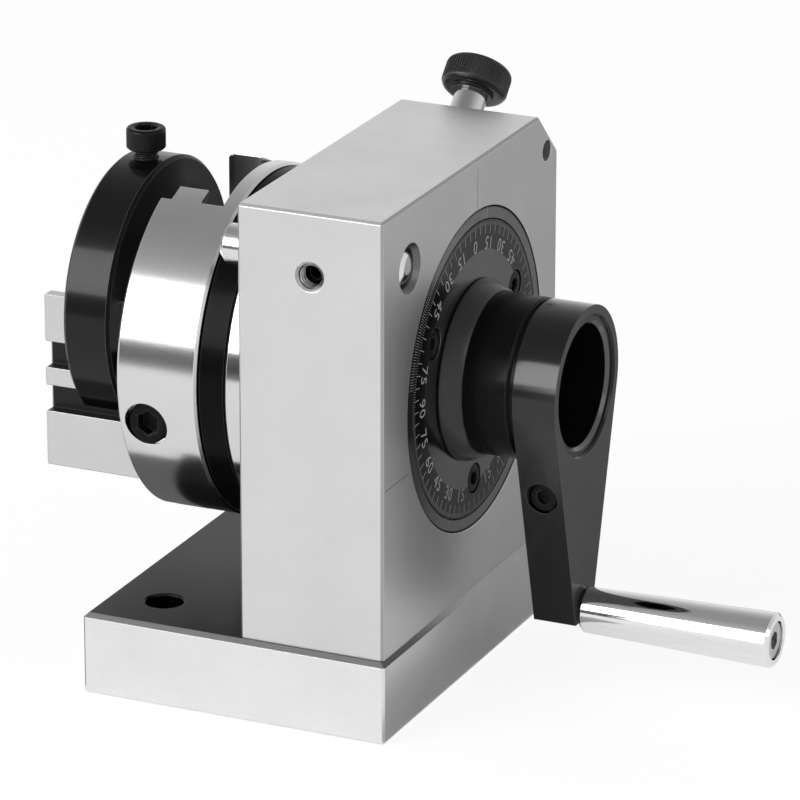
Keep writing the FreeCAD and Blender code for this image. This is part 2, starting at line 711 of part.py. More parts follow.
around(dial_plate, "dial_seats", [dial_hole, dial_seat], "3")
dial_screws = new_body("dial_screws", "right", ON_AXIS)
one_screw = cap_screw(dial_screws, "dial_screw", "up", ("0", "0", f"fits.dial_front - ({DIAL_SEAT})"),
                      ("sizes.dial_screw_head_dia", "sizes.dial_screw_head_height"),
                      ("sizes.dial_screw_dia",
                       f"sizes.dial_thick - ({DIAL_SEAT}) + sizes.dial_screw_bite"),
                      ("sizes.socket_fine", "sizes.socket_shallow"), ("0", DIAL_SCREW_V))
around(dial_screws, "dial_screw_set", one_screw, "3")
ring_between("vernier_ring", half("vernier_bore_dia"), half("vernier_dia"),
             "fits.vernier_seat", "fits.dial_front")

# Thrust collar, lock nut and spacer between the dial and the crank

turned("thrust_collar", "right", ON_AXIS,
       (half("dial_seat_dia"), "fits.dial_front"), (half("collar_dia"), "fits.dial_front"),
       (half("collar_dia"), "fits.collar_right - sizes.collar_bevel"),
       (f"{half('collar_dia')} - sizes.collar_bevel", "fits.collar_right"),
       (half("dial_seat_dia"), "fits.collar_right"))
turned("lock_nut", "right", ON_AXIS,
       (half("nut_thread_dia"), "fits.collar_right"), (half("nut_dia"), "fits.collar_right"),
       (half("nut_dia"), "fits.nut_right - sizes.nut_bevel"),
       (f"{half('nut_dia')} - sizes.nut_bevel", "fits.nut_right"),
       (half("nut_thread_dia"), "fits.nut_right"))
ring_between("crank_spacer", half("nose_dia"), half("spacer_dia"), "fits.nut_right", "fits.crank_left")

# Crank: boss and tapered arm in one, with its cross screw

crank_arm = new_body("crank_arm", "up", ON_AXIS)
pad(crank_arm, "boss", "right", ("fits.crank_left", "0", "0"), "sizes.arm_thick", circle("sizes.boss_dia"))
FLANK_Y = "sizes.boss_dia / 2 * cos(fits.flank_angle)"
FLANK_Z = "sizes.boss_dia / 2 * sin(fits.flank_angle)"
pad(crank_arm, "arm", "right", ("fits.crank_left", "0", "0"), "sizes.arm_thick",
    outline((f"-({FLANK_Y})", FLANK_Z), ("-sizes.arm_end_half", "-fits.arm_drop"),
            ("sizes.arm_end_half", "-fits.arm_drop"), (FLANK_Y, FLANK_Z)))
cut(crank_arm, "boss_bore", "right", ("fits.crank_left", "0", "0"), "sizes.arm_thick",
    circle("sizes.nose_dia"))
bevel(crank_arm, "boss_bevel", "sizes.nut_bevel",
      lambda edge: is_ring(edge, "sizes.nose_dia", "x", "fits.crank_right"))
cut(crank_arm, "handle_thread", "right", ("fits.crank_left", "0", "0"), "sizes.arm_thick",
    circle("sizes.handle_thread_dia + 2 * sizes.thread_clear", "0", "-sizes.arm_reach"))
CRANK_MID = "(fits.crank_left + fits.crank_right) / 2"
CRANK_SCREW_SEAT = (CRANK_MID, "-sizes.crank_screw_seat", "-sizes.crank_screw_drop")
cut(crank_arm, "cross_screw_seat", "front", CRANK_SCREW_SEAT, "sizes.boss_dia / 2",
    circle("sizes.crank_screw_head_dia + 2 * sizes.dial_screw_head_play"))
cut(crank_arm, "cross_screw_hole", "back", CRANK_SCREW_SEAT, "sizes.crank_screw_length",
    circle("sizes.crank_screw_dia + 2 * sizes.thread_clear"))
crank_screw = new_body("crank_screw", "up", ON_AXIS)
cap_screw(crank_screw, "cross_screw", "front", CRANK_SCREW_SEAT,
          ("sizes.crank_screw_head_dia", "sizes.crank_screw_head_height"),
          ("sizes.crank_screw_dia", "sizes.crank_screw_length"),
          ("sizes.socket_fine", "sizes.socket_shallow"))

# Revolving handle on its shoulder pin

HANDLE_AXIS = ("0", "fits.axis_y", "fits.axis_z - sizes.arm_reach")
handle_pin = turned(
    "handle_pin", "right", HANDLE_AXIS,
    ("0", "fits.crank_right - sizes.handle_thread_bite"),
    (half("handle_thread_dia"), "fits.crank_right - sizes.handle_thread_bite"),
    (half("handle_thread_dia"), "fits.crank_right"), (half("handle_pin_dia"), "fits.crank_right"),
    (half("handle_pin_dia"), "fits.handle_head_base"), (half("handle_head_dia"), "fits.handle_head_base"),
    (half("handle_head_dia"), "fits.sleeve_right - sizes.handle_head_sink"),
    ("0", "fits.sleeve_right - sizes.handle_head_sink"))
cut(handle_pin, "pin_socket", "up",
    ("0", "0", "fits.sleeve_right - sizes.handle_head_sink - sizes.socket_shallow"),
    "sizes.socket_shallow", hexagon("sizes.socket_small"))
SLEEVE_BORE = "sizes.handle_pin_dia / 2 + sizes.thread_clear"
HEAD_BORE = "sizes.handle_head_dia / 2 + sizes.handle_head_play"
HEAD_FLOOR = "fits.handle_head_base - sizes.handle_head_play"
turned("handle_sleeve", "right", HANDLE_AXIS,
       (SLEEVE_BORE, "fits.sleeve_left"),
       (f"{half('sleeve_dia')} - sizes.sleeve_edge", "fits.sleeve_left"),
       (half("sleeve_dia"), "fits.sleeve_left + sizes.sleeve_edge"),
       (half("sleeve_end_dia"), "fits.sleeve_right - sizes.sleeve_edge"),
       (f"{half('sleeve_end_dia')} - sizes.sleeve_edge", "fits.sleeve_right"),
       (HEAD_BORE, "fits.sleeve_right"), (HEAD_BORE, HEAD_FLOOR), (SLEEVE_BORE, HEAD_FLOOR))

# Stop ring and drum, bolted together to the spindle's flange

stop_ring = turned(
    "stop_ring", "right", ON_AXIS,
    (half("spigot_dia"), "fits.ring_left"),
    ("fits.stop_ring_dia / 2 - sizes.drum_edge", "fits.ring_left"),
    ("fits.stop_ring_dia / 2", "fits.ring_left + sizes.drum_edge"),
    ("fits.stop_ring_dia / 2", "fits.flange_left - sizes.drum_edge"),
    ("fits.stop_ring_dia / 2 - sizes.drum_edge", "fits.flange_left"),
    (half("spigot_dia"), "fits.flange_left"))
cut(stop_ring, "ring_screw_holes", "up", ("0", "0", "fits.ring_left"), "sizes.stop_ring_thick",
    *(circle(DRUM_SCREW_HOLE, u, v) for u, v in DRUM_SCREW_SPOTS))

drum = new_body("drum", "up", ON_AXIS)
pad(drum, "drum_disc", "right", ("fits.drum_left", "0", "0"), "fits.ring_left - fits.drum_left",
    circle("sizes.drum_dia"))
bevel(drum, "drum_edges", "sizes.drum_edge", lambda edge: is_ring(edge, "sizes.drum_dia"))
MOUTH, RIB = "sizes.slot_half_width", "sizes.slot_rib_half"
SLOT_SIDE = [("fits.drum_left - sizes.slot_mouth", MOUTH), ("fits.rib_left", MOUTH), ("fits.rib_left", RIB),
             ("fits.rib_right", RIB), ("fits.rib_right", MOUTH), ("fits.slot_floor", MOUTH)]
cut(drum, "slide_slot", "up", ("0", "0", "-sizes.drum_dia / 2"), "sizes.drum_dia",
    outline(*SLOT_SIDE, *((x, f"-{y}") for x, y in reversed(SLOT_SIDE))))
cut(drum, "drum_bore", "right", ("fits.slot_floor", "0", "0"), "sizes.drum_web",
    circle("sizes.through_bore_dia"))
DRUM_SEAT = "sizes.drum_screw_head_height + sizes.drum_screw_head_play"
cut(drum, "drum_screw_holes", "right", ("fits.drum_left", "0", "0"), "fits.ring_left - fits.drum_left",
    *(circle(DRUM_SCREW_HOLE, u, v) for u, v in DRUM_SCREW_SPOTS))
cut(drum, "drum_screw_seats", "right", ("fits.drum_left", "0", "0"), DRUM_SEAT,
    *(circle("sizes.drum_screw_head_dia + sizes.drum_screw_head_play", u, v) for u, v in DRUM_SCREW_SPOTS))
RIB_MID = "(fits.rib_left + fits.rib_right) / 2"
LOCK_SEAT = (RIB_MID, "-fits.lock_seat", "-sizes.lock_screw_drop")
cut(drum, "lock_screw_seat", "front", LOCK_SEAT, "sizes.drum_dia / 2",
    circle("sizes.lock_screw_head_dia + 2 * sizes.lock_screw_head_play"))
cut(drum, "lock_screw_hole", "back", LOCK_SEAT, "fits.lock_seat - sizes.slot_rib_half",
    circle("sizes.lock_screw_dia + 2 * sizes.thread_clear"))

drum_screws = new_body("drum_screws", "up", ON_AXIS)
for count, (u, v) in enumerate(DRUM_SCREW_SPOTS, start=1):
    cap_screw(drum_screws, f"drum_screw_{count}", "left", (f"fits.drum_left + {DRUM_SEAT}", u, v),
              ("sizes.drum_screw_head_dia", "sizes.drum_screw_head_height"),
              ("sizes.drum_screw_dia",
               f"fits.flange_left + sizes.drum_screw_bite - 2 * sizes.thread_clear - fits.drum_left"
               f" - ({DRUM_SEAT})"),
              ("sizes.socket_small", "sizes.socket_shallow"))

slide_lock_screw = new_body("slide_lock_screw", "up", ON_AXIS)
cap_screw(slide_lock_screw, "lock_screw", "front", LOCK_SEAT,
          ("sizes.lock_screw_head_dia", "sizes.lock_screw_head_height"),
          ("sizes.lock_screw_dia", "fits.lock_seat - sizes.slot_rib_half"),
          ("sizes.socket_medium", "sizes.socket_depth"))

# V-block with the tongue that rides in the drum's slot

FULL, WAIST = "sizes.block_half_width", "sizes.block_half_width - sizes.side_groove_depth"
TOP, FOOT = "sizes.block_above", "-sizes.block_below"
LOW, HIGH = "-sizes.low_groove_floor", "-sizes.high_groove_floor"
TALL = "sizes.side_groove_height"
VEE_MOUTH = "sizes.block_half_width - sizes.vee_land"
VEE_DEPTH = f"{VEE_MOUTH} - sizes.vee_relief_half"
VEE_SIDE = [(VEE_MOUTH, TOP), ("sizes.vee_relief_half", f"{TOP} - ({VEE_DEPTH})"),
            ("sizes.vee_relief_half", f"{TOP} - ({VEE_DEPTH}) - sizes.vee_relief_depth")]
BLOCK_SIDE = [(FULL, FOOT), (FULL, LOW), (WAIST, LOW), (WAIST, f"{LOW} + {TALL}"), (FULL, f"{LOW} + {TALL}"),
              (FULL, HIGH), (WAIST, HIGH), (WAIST, f"{HIGH} + {TALL}"), (FULL, f"{HIGH} + {TALL}"),
              (FULL, TOP), *VEE_SIDE]


def both_sides(side):
    """Outline made of one side and its mirror image."""
    return outline(*side, *((f"-({u})", v) for u, v in reversed(side)))


v_block = new_body("v_block", "up", ON_AXIS)
pad(v_block, "v_block_head", "right", ("fits.block_left", "0", "0"), "sizes.block_length",
    both_sides(BLOCK_SIDE))
bevel(v_block, "block_end_edges", "sizes.block_edge",
      lambda edge: edge.BoundBox.XMax < number("fits.block_left") + TOUCH)
TONGUE = (("tongue_mouth", "fits.block_right", "fits.rib_left - sizes.slide_clear", MOUTH),
          ("tongue_neck", "fits.rib_left - sizes.slide_clear", "fits.rib_right + sizes.slide_clear", RIB),
          ("tongue_head", "fits.rib_right + sizes.slide_clear", "fits.slot_floor - sizes.slide_clear", MOUTH))
for name, left, right, width in TONGUE:
    wide = f"{width} - sizes.slide_clear"
    pad(v_block, name, "right", (left, "0", "0"), f"{right} - ({left})",
        frame_of(f"-({wide})", wide, FOOT, TOP))
cut(v_block, "tongue_vee", "right", ("fits.block_right", "0", "0"), "fits.slot_floor - fits.block_right",
    both_sides(VEE_SIDE))

# Clamp yoke that hooks into the V-block's side grooves, and its screw

HOOK_TOP = f"{LOW} + {TALL} - sizes.yoke_clear"
HOOK_FOOT = f"{LOW} + sizes.hook_lift"
OUTSIDE = f"{FULL} + sizes.yoke_clear"
INSIDE = f"{WAIST} + sizes.yoke_clear"
YOKE_LEFT = ("fits.yoke_right - sizes.yoke_thick", "0", "0")
YOKE_REACH = "fits.yoke_dia / 2"

clamp_yoke = new_body("clamp_yoke", "up", ON_AXIS)
pad(clamp_yoke, "yoke_disc", "right", YOKE_LEFT, "sizes.yoke_thick",
    circle("fits.yoke_dia", "0", "sizes.yoke_lift"))
bevel(clamp_yoke, "yoke_edges", "sizes.yoke_edge", lambda edge: is_ring(edge, "fits.yoke_dia"))
cut(clamp_yoke, "arch", "right", YOKE_LEFT, "sizes.yoke_thick",
    circle("sizes.yoke_arch_dia", "0", "sizes.yoke_lift"))
cut(clamp_yoke, "block_window", "right", YOKE_LEFT, "sizes.yoke_thick",
    frame_of(f"-({OUTSIDE})", OUTSIDE, HOOK_TOP, f"{TOP} + sizes.yoke_clear"))
cut(clamp_yoke, "hook_window", "right", YOKE_LEFT, "sizes.yoke_thick",
    frame_of(f"-({INSIDE})", INSIDE, f"-{YOKE_REACH}", HOOK_TOP))
cut(clamp_yoke, "yoke_foot", "right", YOKE_LEFT, "sizes.yoke_thick",
    frame_of(f"-{YOKE_REACH}", YOKE_REACH, f"-{YOKE_REACH}", HOOK_FOOT))
cut(clamp_yoke, "clamp_thread", "up", ("fits.yoke_mid", "0", "sizes.yoke_lift"), YOKE_REACH,
    circle("sizes.clamp_screw_dia + 2 * sizes.thread_clear"))

clamp_screw = new_body("clamp_screw", "up", ON_AXIS)
cap_screw(clamp_screw, "clamp", "up",
          ("fits.yoke_mid", "0", f"sizes.yoke_lift + {YOKE_REACH} + sizes.clamp_screw_lift"),
          ("sizes.clamp_screw_head_dia", "sizes.clamp_screw_head_height"),
          ("sizes.clamp_screw_dia", "sizes.clamp_screw_length"),
          ("sizes.socket_medium", "sizes.socket_depth"))

# Index plunger with its collar, spring, threaded plug and knurled knob

PLUNGER_AXIS = ("fits.plunger_x", "fits.axis_y", "fits.axis_z")
TIP_TOP = "fits.tip_end + sizes.plunger_tip_length"
SPIGOT_TOP = "fits.knob_base + sizes.knob_spigot_length"
turned("index_plunger", "plunger", PLUNGER_AXIS,
       ("0", "fits.tip_end"), (half("plunger_tip_end_dia"), "fits.tip_end"),
       (half("plunger_tip_dia"), TIP_TOP), (half("plunger_dia"), TIP_TOP),
       (half("plunger_dia"), "fits.collar_base"), (half("plunger_collar_dia"), "fits.collar_base"),
       (half("plunger_collar_dia"), "fits.collar_top"), (half("plunger_dia"), "fits.collar_top"),
       (half("plunger_dia"), "fits.knob_base"), (half("knob_spigot_dia"), "fits.knob_base"),
       (half("knob_spigot_dia"), SPIGOT_TOP), ("0", SPIGOT_TOP))
turned("plunger_plug", "plunger", PLUNGER_AXIS,
       ("sizes.plunger_dia / 2 + sizes.running_clear", "fits.plug_base"),
       (half("plug_dia"), "fits.plug_base"), (half("plug_dia"), "fits.corner_face"),
       ("sizes.plunger_dia / 2 + sizes.running_clear", "fits.corner_face"))

# The spring is pressed to its solid length at rest, so its turns lie against each other
SPRING_TURNS = int(DRIVING["spring_turns"])
SPRING_IN = "(sizes.spring_mean_dia - sizes.spring_wire_thick) / 2"
SPRING_OUT = "(sizes.spring_mean_dia + sizes.spring_wire_thick) / 2"
SPRING_PITCH = "(fits.plug_base - fits.collar_top) / sizes.spring_turns"


def spring_side(flat_at, notch_at):
    """One side of the closed coil: a flat for each turn and a notch between turns."""
    corners = [(notch_at, "fits.collar_top")]
    for count in range(SPRING_TURNS):
        corners += [(flat_at, f"fits.collar_top + {count} * {SPRING_PITCH} + sizes.spring_wire_bevel"),
                    (flat_at, f"fits.collar_top + {count + 1} * {SPRING_PITCH} - sizes.spring_wire_bevel"),
                    (notch_at, f"fits.collar_top + {count + 1} * {SPRING_PITCH}")]
    return corners


turned("plunger_spring", "plunger", PLUNGER_AXIS,
       *spring_side(SPRING_OUT, f"{SPRING_OUT} - sizes.spring_wire_bevel"),
       *reversed(spring_side(SPRING_IN, f"{SPRING_IN} + sizes.spring_wire_bevel")))

KNOB_TOP = "fits.knob_base + sizes.knob_height"
KNOB_FOOT = "fits.knob_base + sizes.knob_hub_drop"
knob = turned(
    "plunger_knob", "plunger", PLUNGER_AXIS,
    (half("knob_spigot_dia"), "fits.knob_base"), (half("knob_hub_dia"), "fits.knob_base"),
    (half("knob_hub_dia"), KNOB_FOOT), (f"{half('knob_dia')} - sizes.knob_edge", KNOB_FOOT),
    (half("knob_dia"), f"{KNOB_FOOT} + sizes.knob_edge"), (half("knob_dia"), f"{KNOB_TOP} - sizes.knob_edge"),
    (f"{half('knob_dia')} - sizes.knob_edge", KNOB_TOP), ("0", KNOB_TOP), ("0", SPIGOT_TOP),
    (half("knob_spigot_dia"), SPIGOT_TOP))
groove = cut(knob, "knob_groove", "up", ("0", "0", KNOB_FOOT), f"{KNOB_TOP} - ({KNOB_FOOT})",
             outline((f"{half('knob_dia')} - sizes.knob_groove_depth", "0"),
                     (f"{half('knob_dia')} + sizes.knob_groove_depth", "-2 * sizes.knob_groove_depth"),
                     (f"{half('knob_dia')} + sizes.knob_groove_depth", "2 * sizes.knob_groove_depth")))
around(knob, "knob_knurl", [groove], "sizes.knob_grooves")

# Stop pin, and the set screws that hold it and the plug


def set_screw(label, way, origin, diameter, length):
    """Grub screw: origin at its tip, the way points out of its socket."""
    body = turned(label, way, origin,
                  ("0", "0"), (f"{diameter} / 2 - sizes.set_screw_bevel", "0"),
                  (f"{diameter} / 2", "sizes.set_screw_bevel"), (f"{diameter} / 2", length), ("0", length))
    cut(body, f"{label}_socket", "up", ("0", "0", f"{length} - sizes.socket_depth"), "sizes.socket_depth",
        hexagon("sizes.socket_fine"))


stop_pin = turned(
    "stop_pin", "right", ("0", PIN_Y, PIN_Z),
    ("0", "fits.face_left - sizes.stop_pin_out"),
    (f"{half('stop_pin_dia')} - sizes.stop_pin_bevel", "fits.face_left - sizes.stop_pin_out"),
    (half("stop_pin_dia"), "fits.face_left - sizes.stop_pin_out + sizes.stop_pin_bevel"),
    (half("stop_pin_dia"), "fits.face_right - sizes.stop_pin_sunk"),
    ("0", "fits.face_right - sizes.stop_pin_sunk"))
rounded(stop_pin, "pin_dome", "sizes.stop_pin_dome",
        lambda edge: is_ring(edge, "sizes.stop_pin_dia", "z", "fits.face_right - sizes.stop_pin_sunk"))
set_screw("stop_pin_screw", "front",
          ("fits.upright_mid", f"{PIN_Y} - sizes.stop_pin_dia / 2 - 2 * sizes.thread_clear", PIN_Z),
          "sizes.pin_screw_dia", "sizes.pin_screw_length")
set_screw("plug_screw", "right",
          ("fits.plunger_x + sizes.plug_dia / 2", "fits.axis_y + sizes.plug_screw_up / sqrt(2)",
           "fits.axis_z + sizes.plug_screw_up / sqrt(2)"),
          "sizes.plug_screw_dia", "sizes.plug_screw_length")

# Check every feature and piece, then write one file for each piece

doc.recompute()
for item in doc.Objects:
    if "Invalid" in item.State or "Error" in item.State:
        raise ValueError(f"{item.Label} failed: {item.State}")
pieces = [item for item in doc.Objects if item.TypeId == "PartDesign::Body"]
for piece in pieces:
    if piece.Shape.isNull() or not piece.Shape.isValid() or not piece.Shape.Solids:
        raise ValueError(f"{piece.Label} has no valid solid")
os.makedirs("parts", exist_ok=True)
for piece in pieces:
    piece.Shape.exportStep(f"parts/{piece.Label}.step")
    print(piece.Label, len(piece.Shape.Solids), round(piece.Shape.Volume, 1))
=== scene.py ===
import math

import bmesh
import bpy
from mathutils import Matrix, Vector


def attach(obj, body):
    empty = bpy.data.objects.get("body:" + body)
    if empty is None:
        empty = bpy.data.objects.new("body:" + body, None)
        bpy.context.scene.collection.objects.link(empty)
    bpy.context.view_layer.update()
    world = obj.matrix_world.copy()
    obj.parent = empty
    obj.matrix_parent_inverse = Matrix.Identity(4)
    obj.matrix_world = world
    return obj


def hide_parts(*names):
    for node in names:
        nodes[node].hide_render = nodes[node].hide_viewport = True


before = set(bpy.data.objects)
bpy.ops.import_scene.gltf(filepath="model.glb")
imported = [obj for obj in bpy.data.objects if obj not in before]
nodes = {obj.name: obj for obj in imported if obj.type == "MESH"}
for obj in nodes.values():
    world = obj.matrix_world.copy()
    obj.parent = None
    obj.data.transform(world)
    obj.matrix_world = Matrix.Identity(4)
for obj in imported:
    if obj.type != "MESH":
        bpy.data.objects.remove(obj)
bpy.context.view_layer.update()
MM = 0.001

# Camera: a long lens in front of the fixture, a little above it and to the right,
# so that the front face, the dial side and the top are all in view.
camera_data = bpy.data.cameras.new("camera")
camera_data.lens = 259.4
camera_data.sensor_width = 36.0
camera_data.clip_end = 60.0
camera = bpy.data.objects.new("camera", camera_data)
camera.location = Vector((540.99, -1155.74, 521.38)) * MM
side, rise, roll = math.radians(24.3), math.radians(19.82), math.radians(0.07)
looking = Vector((-math.sin(side) * math.cos(rise), math.cos(side) * math.cos(rise), -math.sin(rise)))
aim = looking.to_track_quat("-Z", "Y") @ Matrix.Rotation(roll, 3, "Z").to_quaternion()
camera.rotation_euler = aim.to_euler()
bpy.context.scene.collection.objects.link(camera)
bpy.context.scene.camera = camera
bpy.context.scene.view_settings.view_transform = "Standard"

# Studio floor: a wide pale sheet that fills the view, so the fixture stands on plain white
# and keeps only its own soft shadow. The metal's reflections show its real, lit brightness
# with a little of that white.


def new_material(name):
    """Empty material with no nodes in it yet."""
    material = bpy.data.materials.new(name)
    material.use_nodes = True
    material.node_tree.nodes.clear()
    return material


def add(tree, kind, sockets=None, **settings):
    """Node of one kind, with plain socket values, links and settings."""
    node = tree.nodes.new(kind)
    for name, value in settings.items():
        setattr(node, name, value)
    for name, value in (sockets or {}).items():
        if isinstance(value, bpy.types.NodeSocket):
            tree.links.new(value, node.inputs[name])
        else:
            node.inputs[name].default_value = value
    return node


def do_math(tree, operation, *values):
    """Math node over plain numbers and sockets."""
    return add(tree, "ShaderNodeMath", dict(enumerate(values)), operation=operation).outputs[0]


def flat_sheet(name, corners):
    """Flat many-sided sheet through the given corners."""
    mesh = bmesh.new()
    mesh.faces.new([mesh.verts.new(corner) for corner in corners])
    data = bpy.data.meshes.new(name)
    mesh.to_mesh(data)
    mesh.free()
    sheet = bpy.data.objects.new(name, data)
    bpy.context.scene.collection.objects.link(sheet)
    return sheet


FLOOR_REACH, FLOOR_CORNERS, FLOOR_DROP = 9.0, 96, 0.0002
SEEN_GLOW, MIRRORED_GLOW = 0.78, 0.5

floor_turns = [math.tau * step / FLOOR_CORNERS for step in range(FLOOR_CORNERS)]
floor = flat_sheet("studio_floor", [(FLOOR_REACH * math.cos(turn), FLOOR_REACH * math.sin(turn), 0)
                                    for turn in floor_turns])
floor.location.z = -FLOOR_DROP
floor_paint = new_material("studio_floor_paint")
tree = floor_paint.node_tree
path = add(tree, "ShaderNodeLightPath")
mirrored = do_math(tree, "MAXIMUM", path.outputs["Is Glossy Ray"], path.outputs["Is Transmission Ray"])
share = do_math(tree, "MULTIPLY", mirrored, MIRRORED_GLOW)
share = do_math(tree, "MULTIPLY_ADD", path.outputs["Is Camera Ray"], SEEN_GLOW, share)
matt = add(tree, "ShaderNodeBsdfDiffuse", {"Color": (0.86, 0.86, 0.86, 1)})
glow = add(tree, "ShaderNodeEmission", {"Color": (1, 1, 1, 1), "Strength": 1.1})
both = add(tree, "ShaderNodeMixShader", {0: share, 1: matt.outputs[0], 2: glow.outputs[0]})
add(tree, "ShaderNodeOutputMaterial", {"Surface": both.outputs[0]})
floor.data.materials.append(floor_paint)

# Studio light: a broad soft key from the front left, a weaker fill from the right, and a
# pale surround that is dimmer overhead. Cards that only mirrored rays see are painted
# reflections that give the round pieces their dark bands: a black one with a grey one under
# it stand in front on the left, and two lie on the floor as painted shade in the floor's
# reflection, a pale one behind on the right and a dark one under the drum.


def soft_light(name, place, target, width, height, power):
    """Rectangular area light aimed at a point."""
    data = bpy.data.lights.new(name, "AREA")
    data.shape = "RECTANGLE"
    data.size, data.size_y = width, height
    data.energy = power
    lamp = bpy.data.objects.new(name, data)
    lamp.location = Vector(place)
    lamp.rotation_euler = (Vector(target) - lamp.location).to_track_quat("-Z", "Y").to_euler()
    bpy.context.scene.collection.objects.link(lamp)


soft_light("key_light", (-1.0, -1.5, 0.78), (0, 0, 0.07), width=1.5, height=1.3, power=27.0)
soft_light("fill_light", (1.9, -0.5, 0.9), (0.05, 0, 0.07), width=1.0, height=0.8, power=3.5)


def mirror_card(name, corners, tone):
    """Matt card that only mirrored rays see: a painted reflection."""
    card = flat_sheet(name, corners)
    paint = new_material(name + "_paint")
    matt = add(paint.node_tree, "ShaderNodeBsdfDiffuse", {"Color": (tone, tone, tone, 1)})
    add(paint.node_tree, "ShaderNodeOutputMaterial", {"Surface": matt.outputs[0]})
    card.data.materials.append(paint)
    for ray in ("camera", "diffuse", "transmission", "shadow"):
        setattr(card, "visible_" + ray, False)


def standing_card(name, low, high, tone):
    """Card that stands upright in front of the drum, on the left."""
    left, right, front = -0.34, -0.088, -0.4
    corners = [(left, low), (right, low), (right, high), (left, high)]
    mirror_card(name, [(x, front, z) for x, z in corners], tone)


def lying_card(name, outline, tone):
    """Card that lies a hair above the floor."""
    mirror_card(name, [(x, y, 0.0004) for x, y in outline], tone)


# Painted reflection: dark standing cards put dark bands in the metal's reflections.
standing_card("band_card", 0.048, 0.144, 0.02)
standing_card("band_fade", 0.018, 0.048, 0.22)
# Painted shade in reflections: floor cards darker than the floor where it lies in shade.
lying_card("back_shade_card", [(0.0388, -0.075), (0.057, -0.05), (0.059, 0.015), (0.085, 0.045), (0.2, 0.16),
                         (1.6, 2.2), (0.9, 3.2), (0.0388, 0.4)], 0.58)
lying_card("drum_shade_card", [(-0.13, -0.05), (-0.0386, -0.05), (-0.0386, 0.11), (-0.13, 0.11)], 0.2)

world = bpy.data.worlds.new("studio_surround")
bpy.context.scene.world = world
world.use_nodes = True
tree = world.node_tree
tree.nodes.clear()
coords = add(tree, "ShaderNodeTexCoord")
apart = add(tree, "ShaderNodeSeparateXYZ", {0: coords.outputs["Generated"]})
ramp = add(tree, "ShaderNodeValToRGB", {0: apart.outputs["Z"]})
horizon, overhead = ramp.color_ramp.elements
horizon.position, overhead.position = 0.05, 0.9
horizon.color, overhead.color = (0.95, 0.95, 0.95, 1), (0.34, 0.34, 0.34, 1)
ramp.color_ramp.elements.new(0.36).color = (0.8, 0.8, 0.8, 1)
sky = add(tree, "ShaderNodeBackground", {"Color": ramp.outputs["Color"], "Strength": 0.9})
add(tree, "ShaderNodeOutputWorld", {"Surface": sky.outputs[0]})

# Base plate: a thick block of tool steel, ground on every face, with its edges broken. Its
# top and its bevels are left a darker grey than its sides. Two plain holes take the screws
# that hold it to a machine table; their walls and rims are painted near black as shade.


def new_group(name, inputs, outputs):
    """Shader node group with named inputs and outputs."""
    group = bpy.data.node_groups.new(name, "ShaderNodeTree")
    for label, kind, value in inputs:
        socket = group.interface.new_socket(name=label, in_out="INPUT", socket_type=kind)
        if value is not None:
            socket.default_value = value
    for label, kind in outputs:
        group.interface.new_socket(name=label, in_out="OUTPUT", socket_type=kind)
    return group, group.nodes.new("NodeGroupInput").outputs, group.nodes.new("NodeGroupOutput").inputs


def put_group(tree, group, sockets):
    """One use of a node group in a material."""
    return add(tree, "ShaderNodeGroup", sockets, node_tree=group).outputs


def vector_math(tree, operation, *values):
    """Vector math node over vectors and sockets."""
    return add(tree, "ShaderNodeVectorMath", dict(enumerate(values)), operation=operation)


def span(tree, value, low, high):
    """A value from 0 to 1 spread between two limits."""
    return add(tree, "ShaderNodeMapRange", {0: value, 3: low, 4: high}).outputs[0]


def step_mask(tree, value, off, on):
    """Mask that goes from 0 to 1 as a value passes from one limit to another."""
    return add(tree, "ShaderNodeMapRange", {0: value, 1: off, 2: on, 3: 0.0, 4: 1.0}).outputs[0]


def noise(tree, vector, scale, detail=3.0, roughness=0.6):
    """Soft random value over a vector."""
    return add(tree, "ShaderNodeTexNoise", {"Vector": vector, "Scale": scale, "Detail": detail,
                                            "Roughness": roughness}).outputs["Fac"]


def mix_colour(tree, factor, first, second):
    """Colour between two others."""
    return add(tree, "ShaderNodeMix", {0: factor, 6: first, 7: second}, data_type="RGBA").outputs[2]


def grey(level):
    """Plain steel grey, a touch cooler than neutral."""
    return (level, level, level * 1.01, 1)


# Grinding marks: fine straight scratches along the direction of least stretch, with slow
# cloudy change across the face, as a surface grinder's wheel leaves them.
grinding, given, result = new_group(
    "grinding_marks",
    [("Vector", "NodeSocketVector", None), ("Stretch", "NodeSocketVector", (9000, 9000, 260))],
    [("Height", "NodeSocketFloat"), ("Cloud", "NodeSocketFloat")])
drawn = vector_math(grinding, "MULTIPLY", given["Vector"], given["Stretch"]).outputs[0]
grinding.links.new(noise(grinding, drawn, 1.0, roughness=0.65), result["Height"])
grinding.links.new(noise(grinding, given["Vector"], 60.0), result["Cloud"])

# Broken edges: where two faces meet, handling polishes steel bright and rubs blacking thin;
# the paler edge colour on bright steel is also a painted highlight.
edges, given, result = new_group(
    "broken_edges", [("Radius", "NodeSocketFloat", 0.0004)],
    [("Mask", "NodeSocketFloat"), ("Soft Normal", "NodeSocketVector")])
rounded = add(edges, "ShaderNodeBevel", {"Radius": given["Radius"]}, samples=6).outputs[0]
flat = add(edges, "ShaderNodeNewGeometry").outputs["Normal"]
agree = vector_math(edges, "DOT_PRODUCT", rounded, flat).outputs["Value"]
edges.links.new(step_mask(edges, agree, 0.998, 0.9), result["Mask"])
edges.links.new(rounded, result["Soft Normal"])


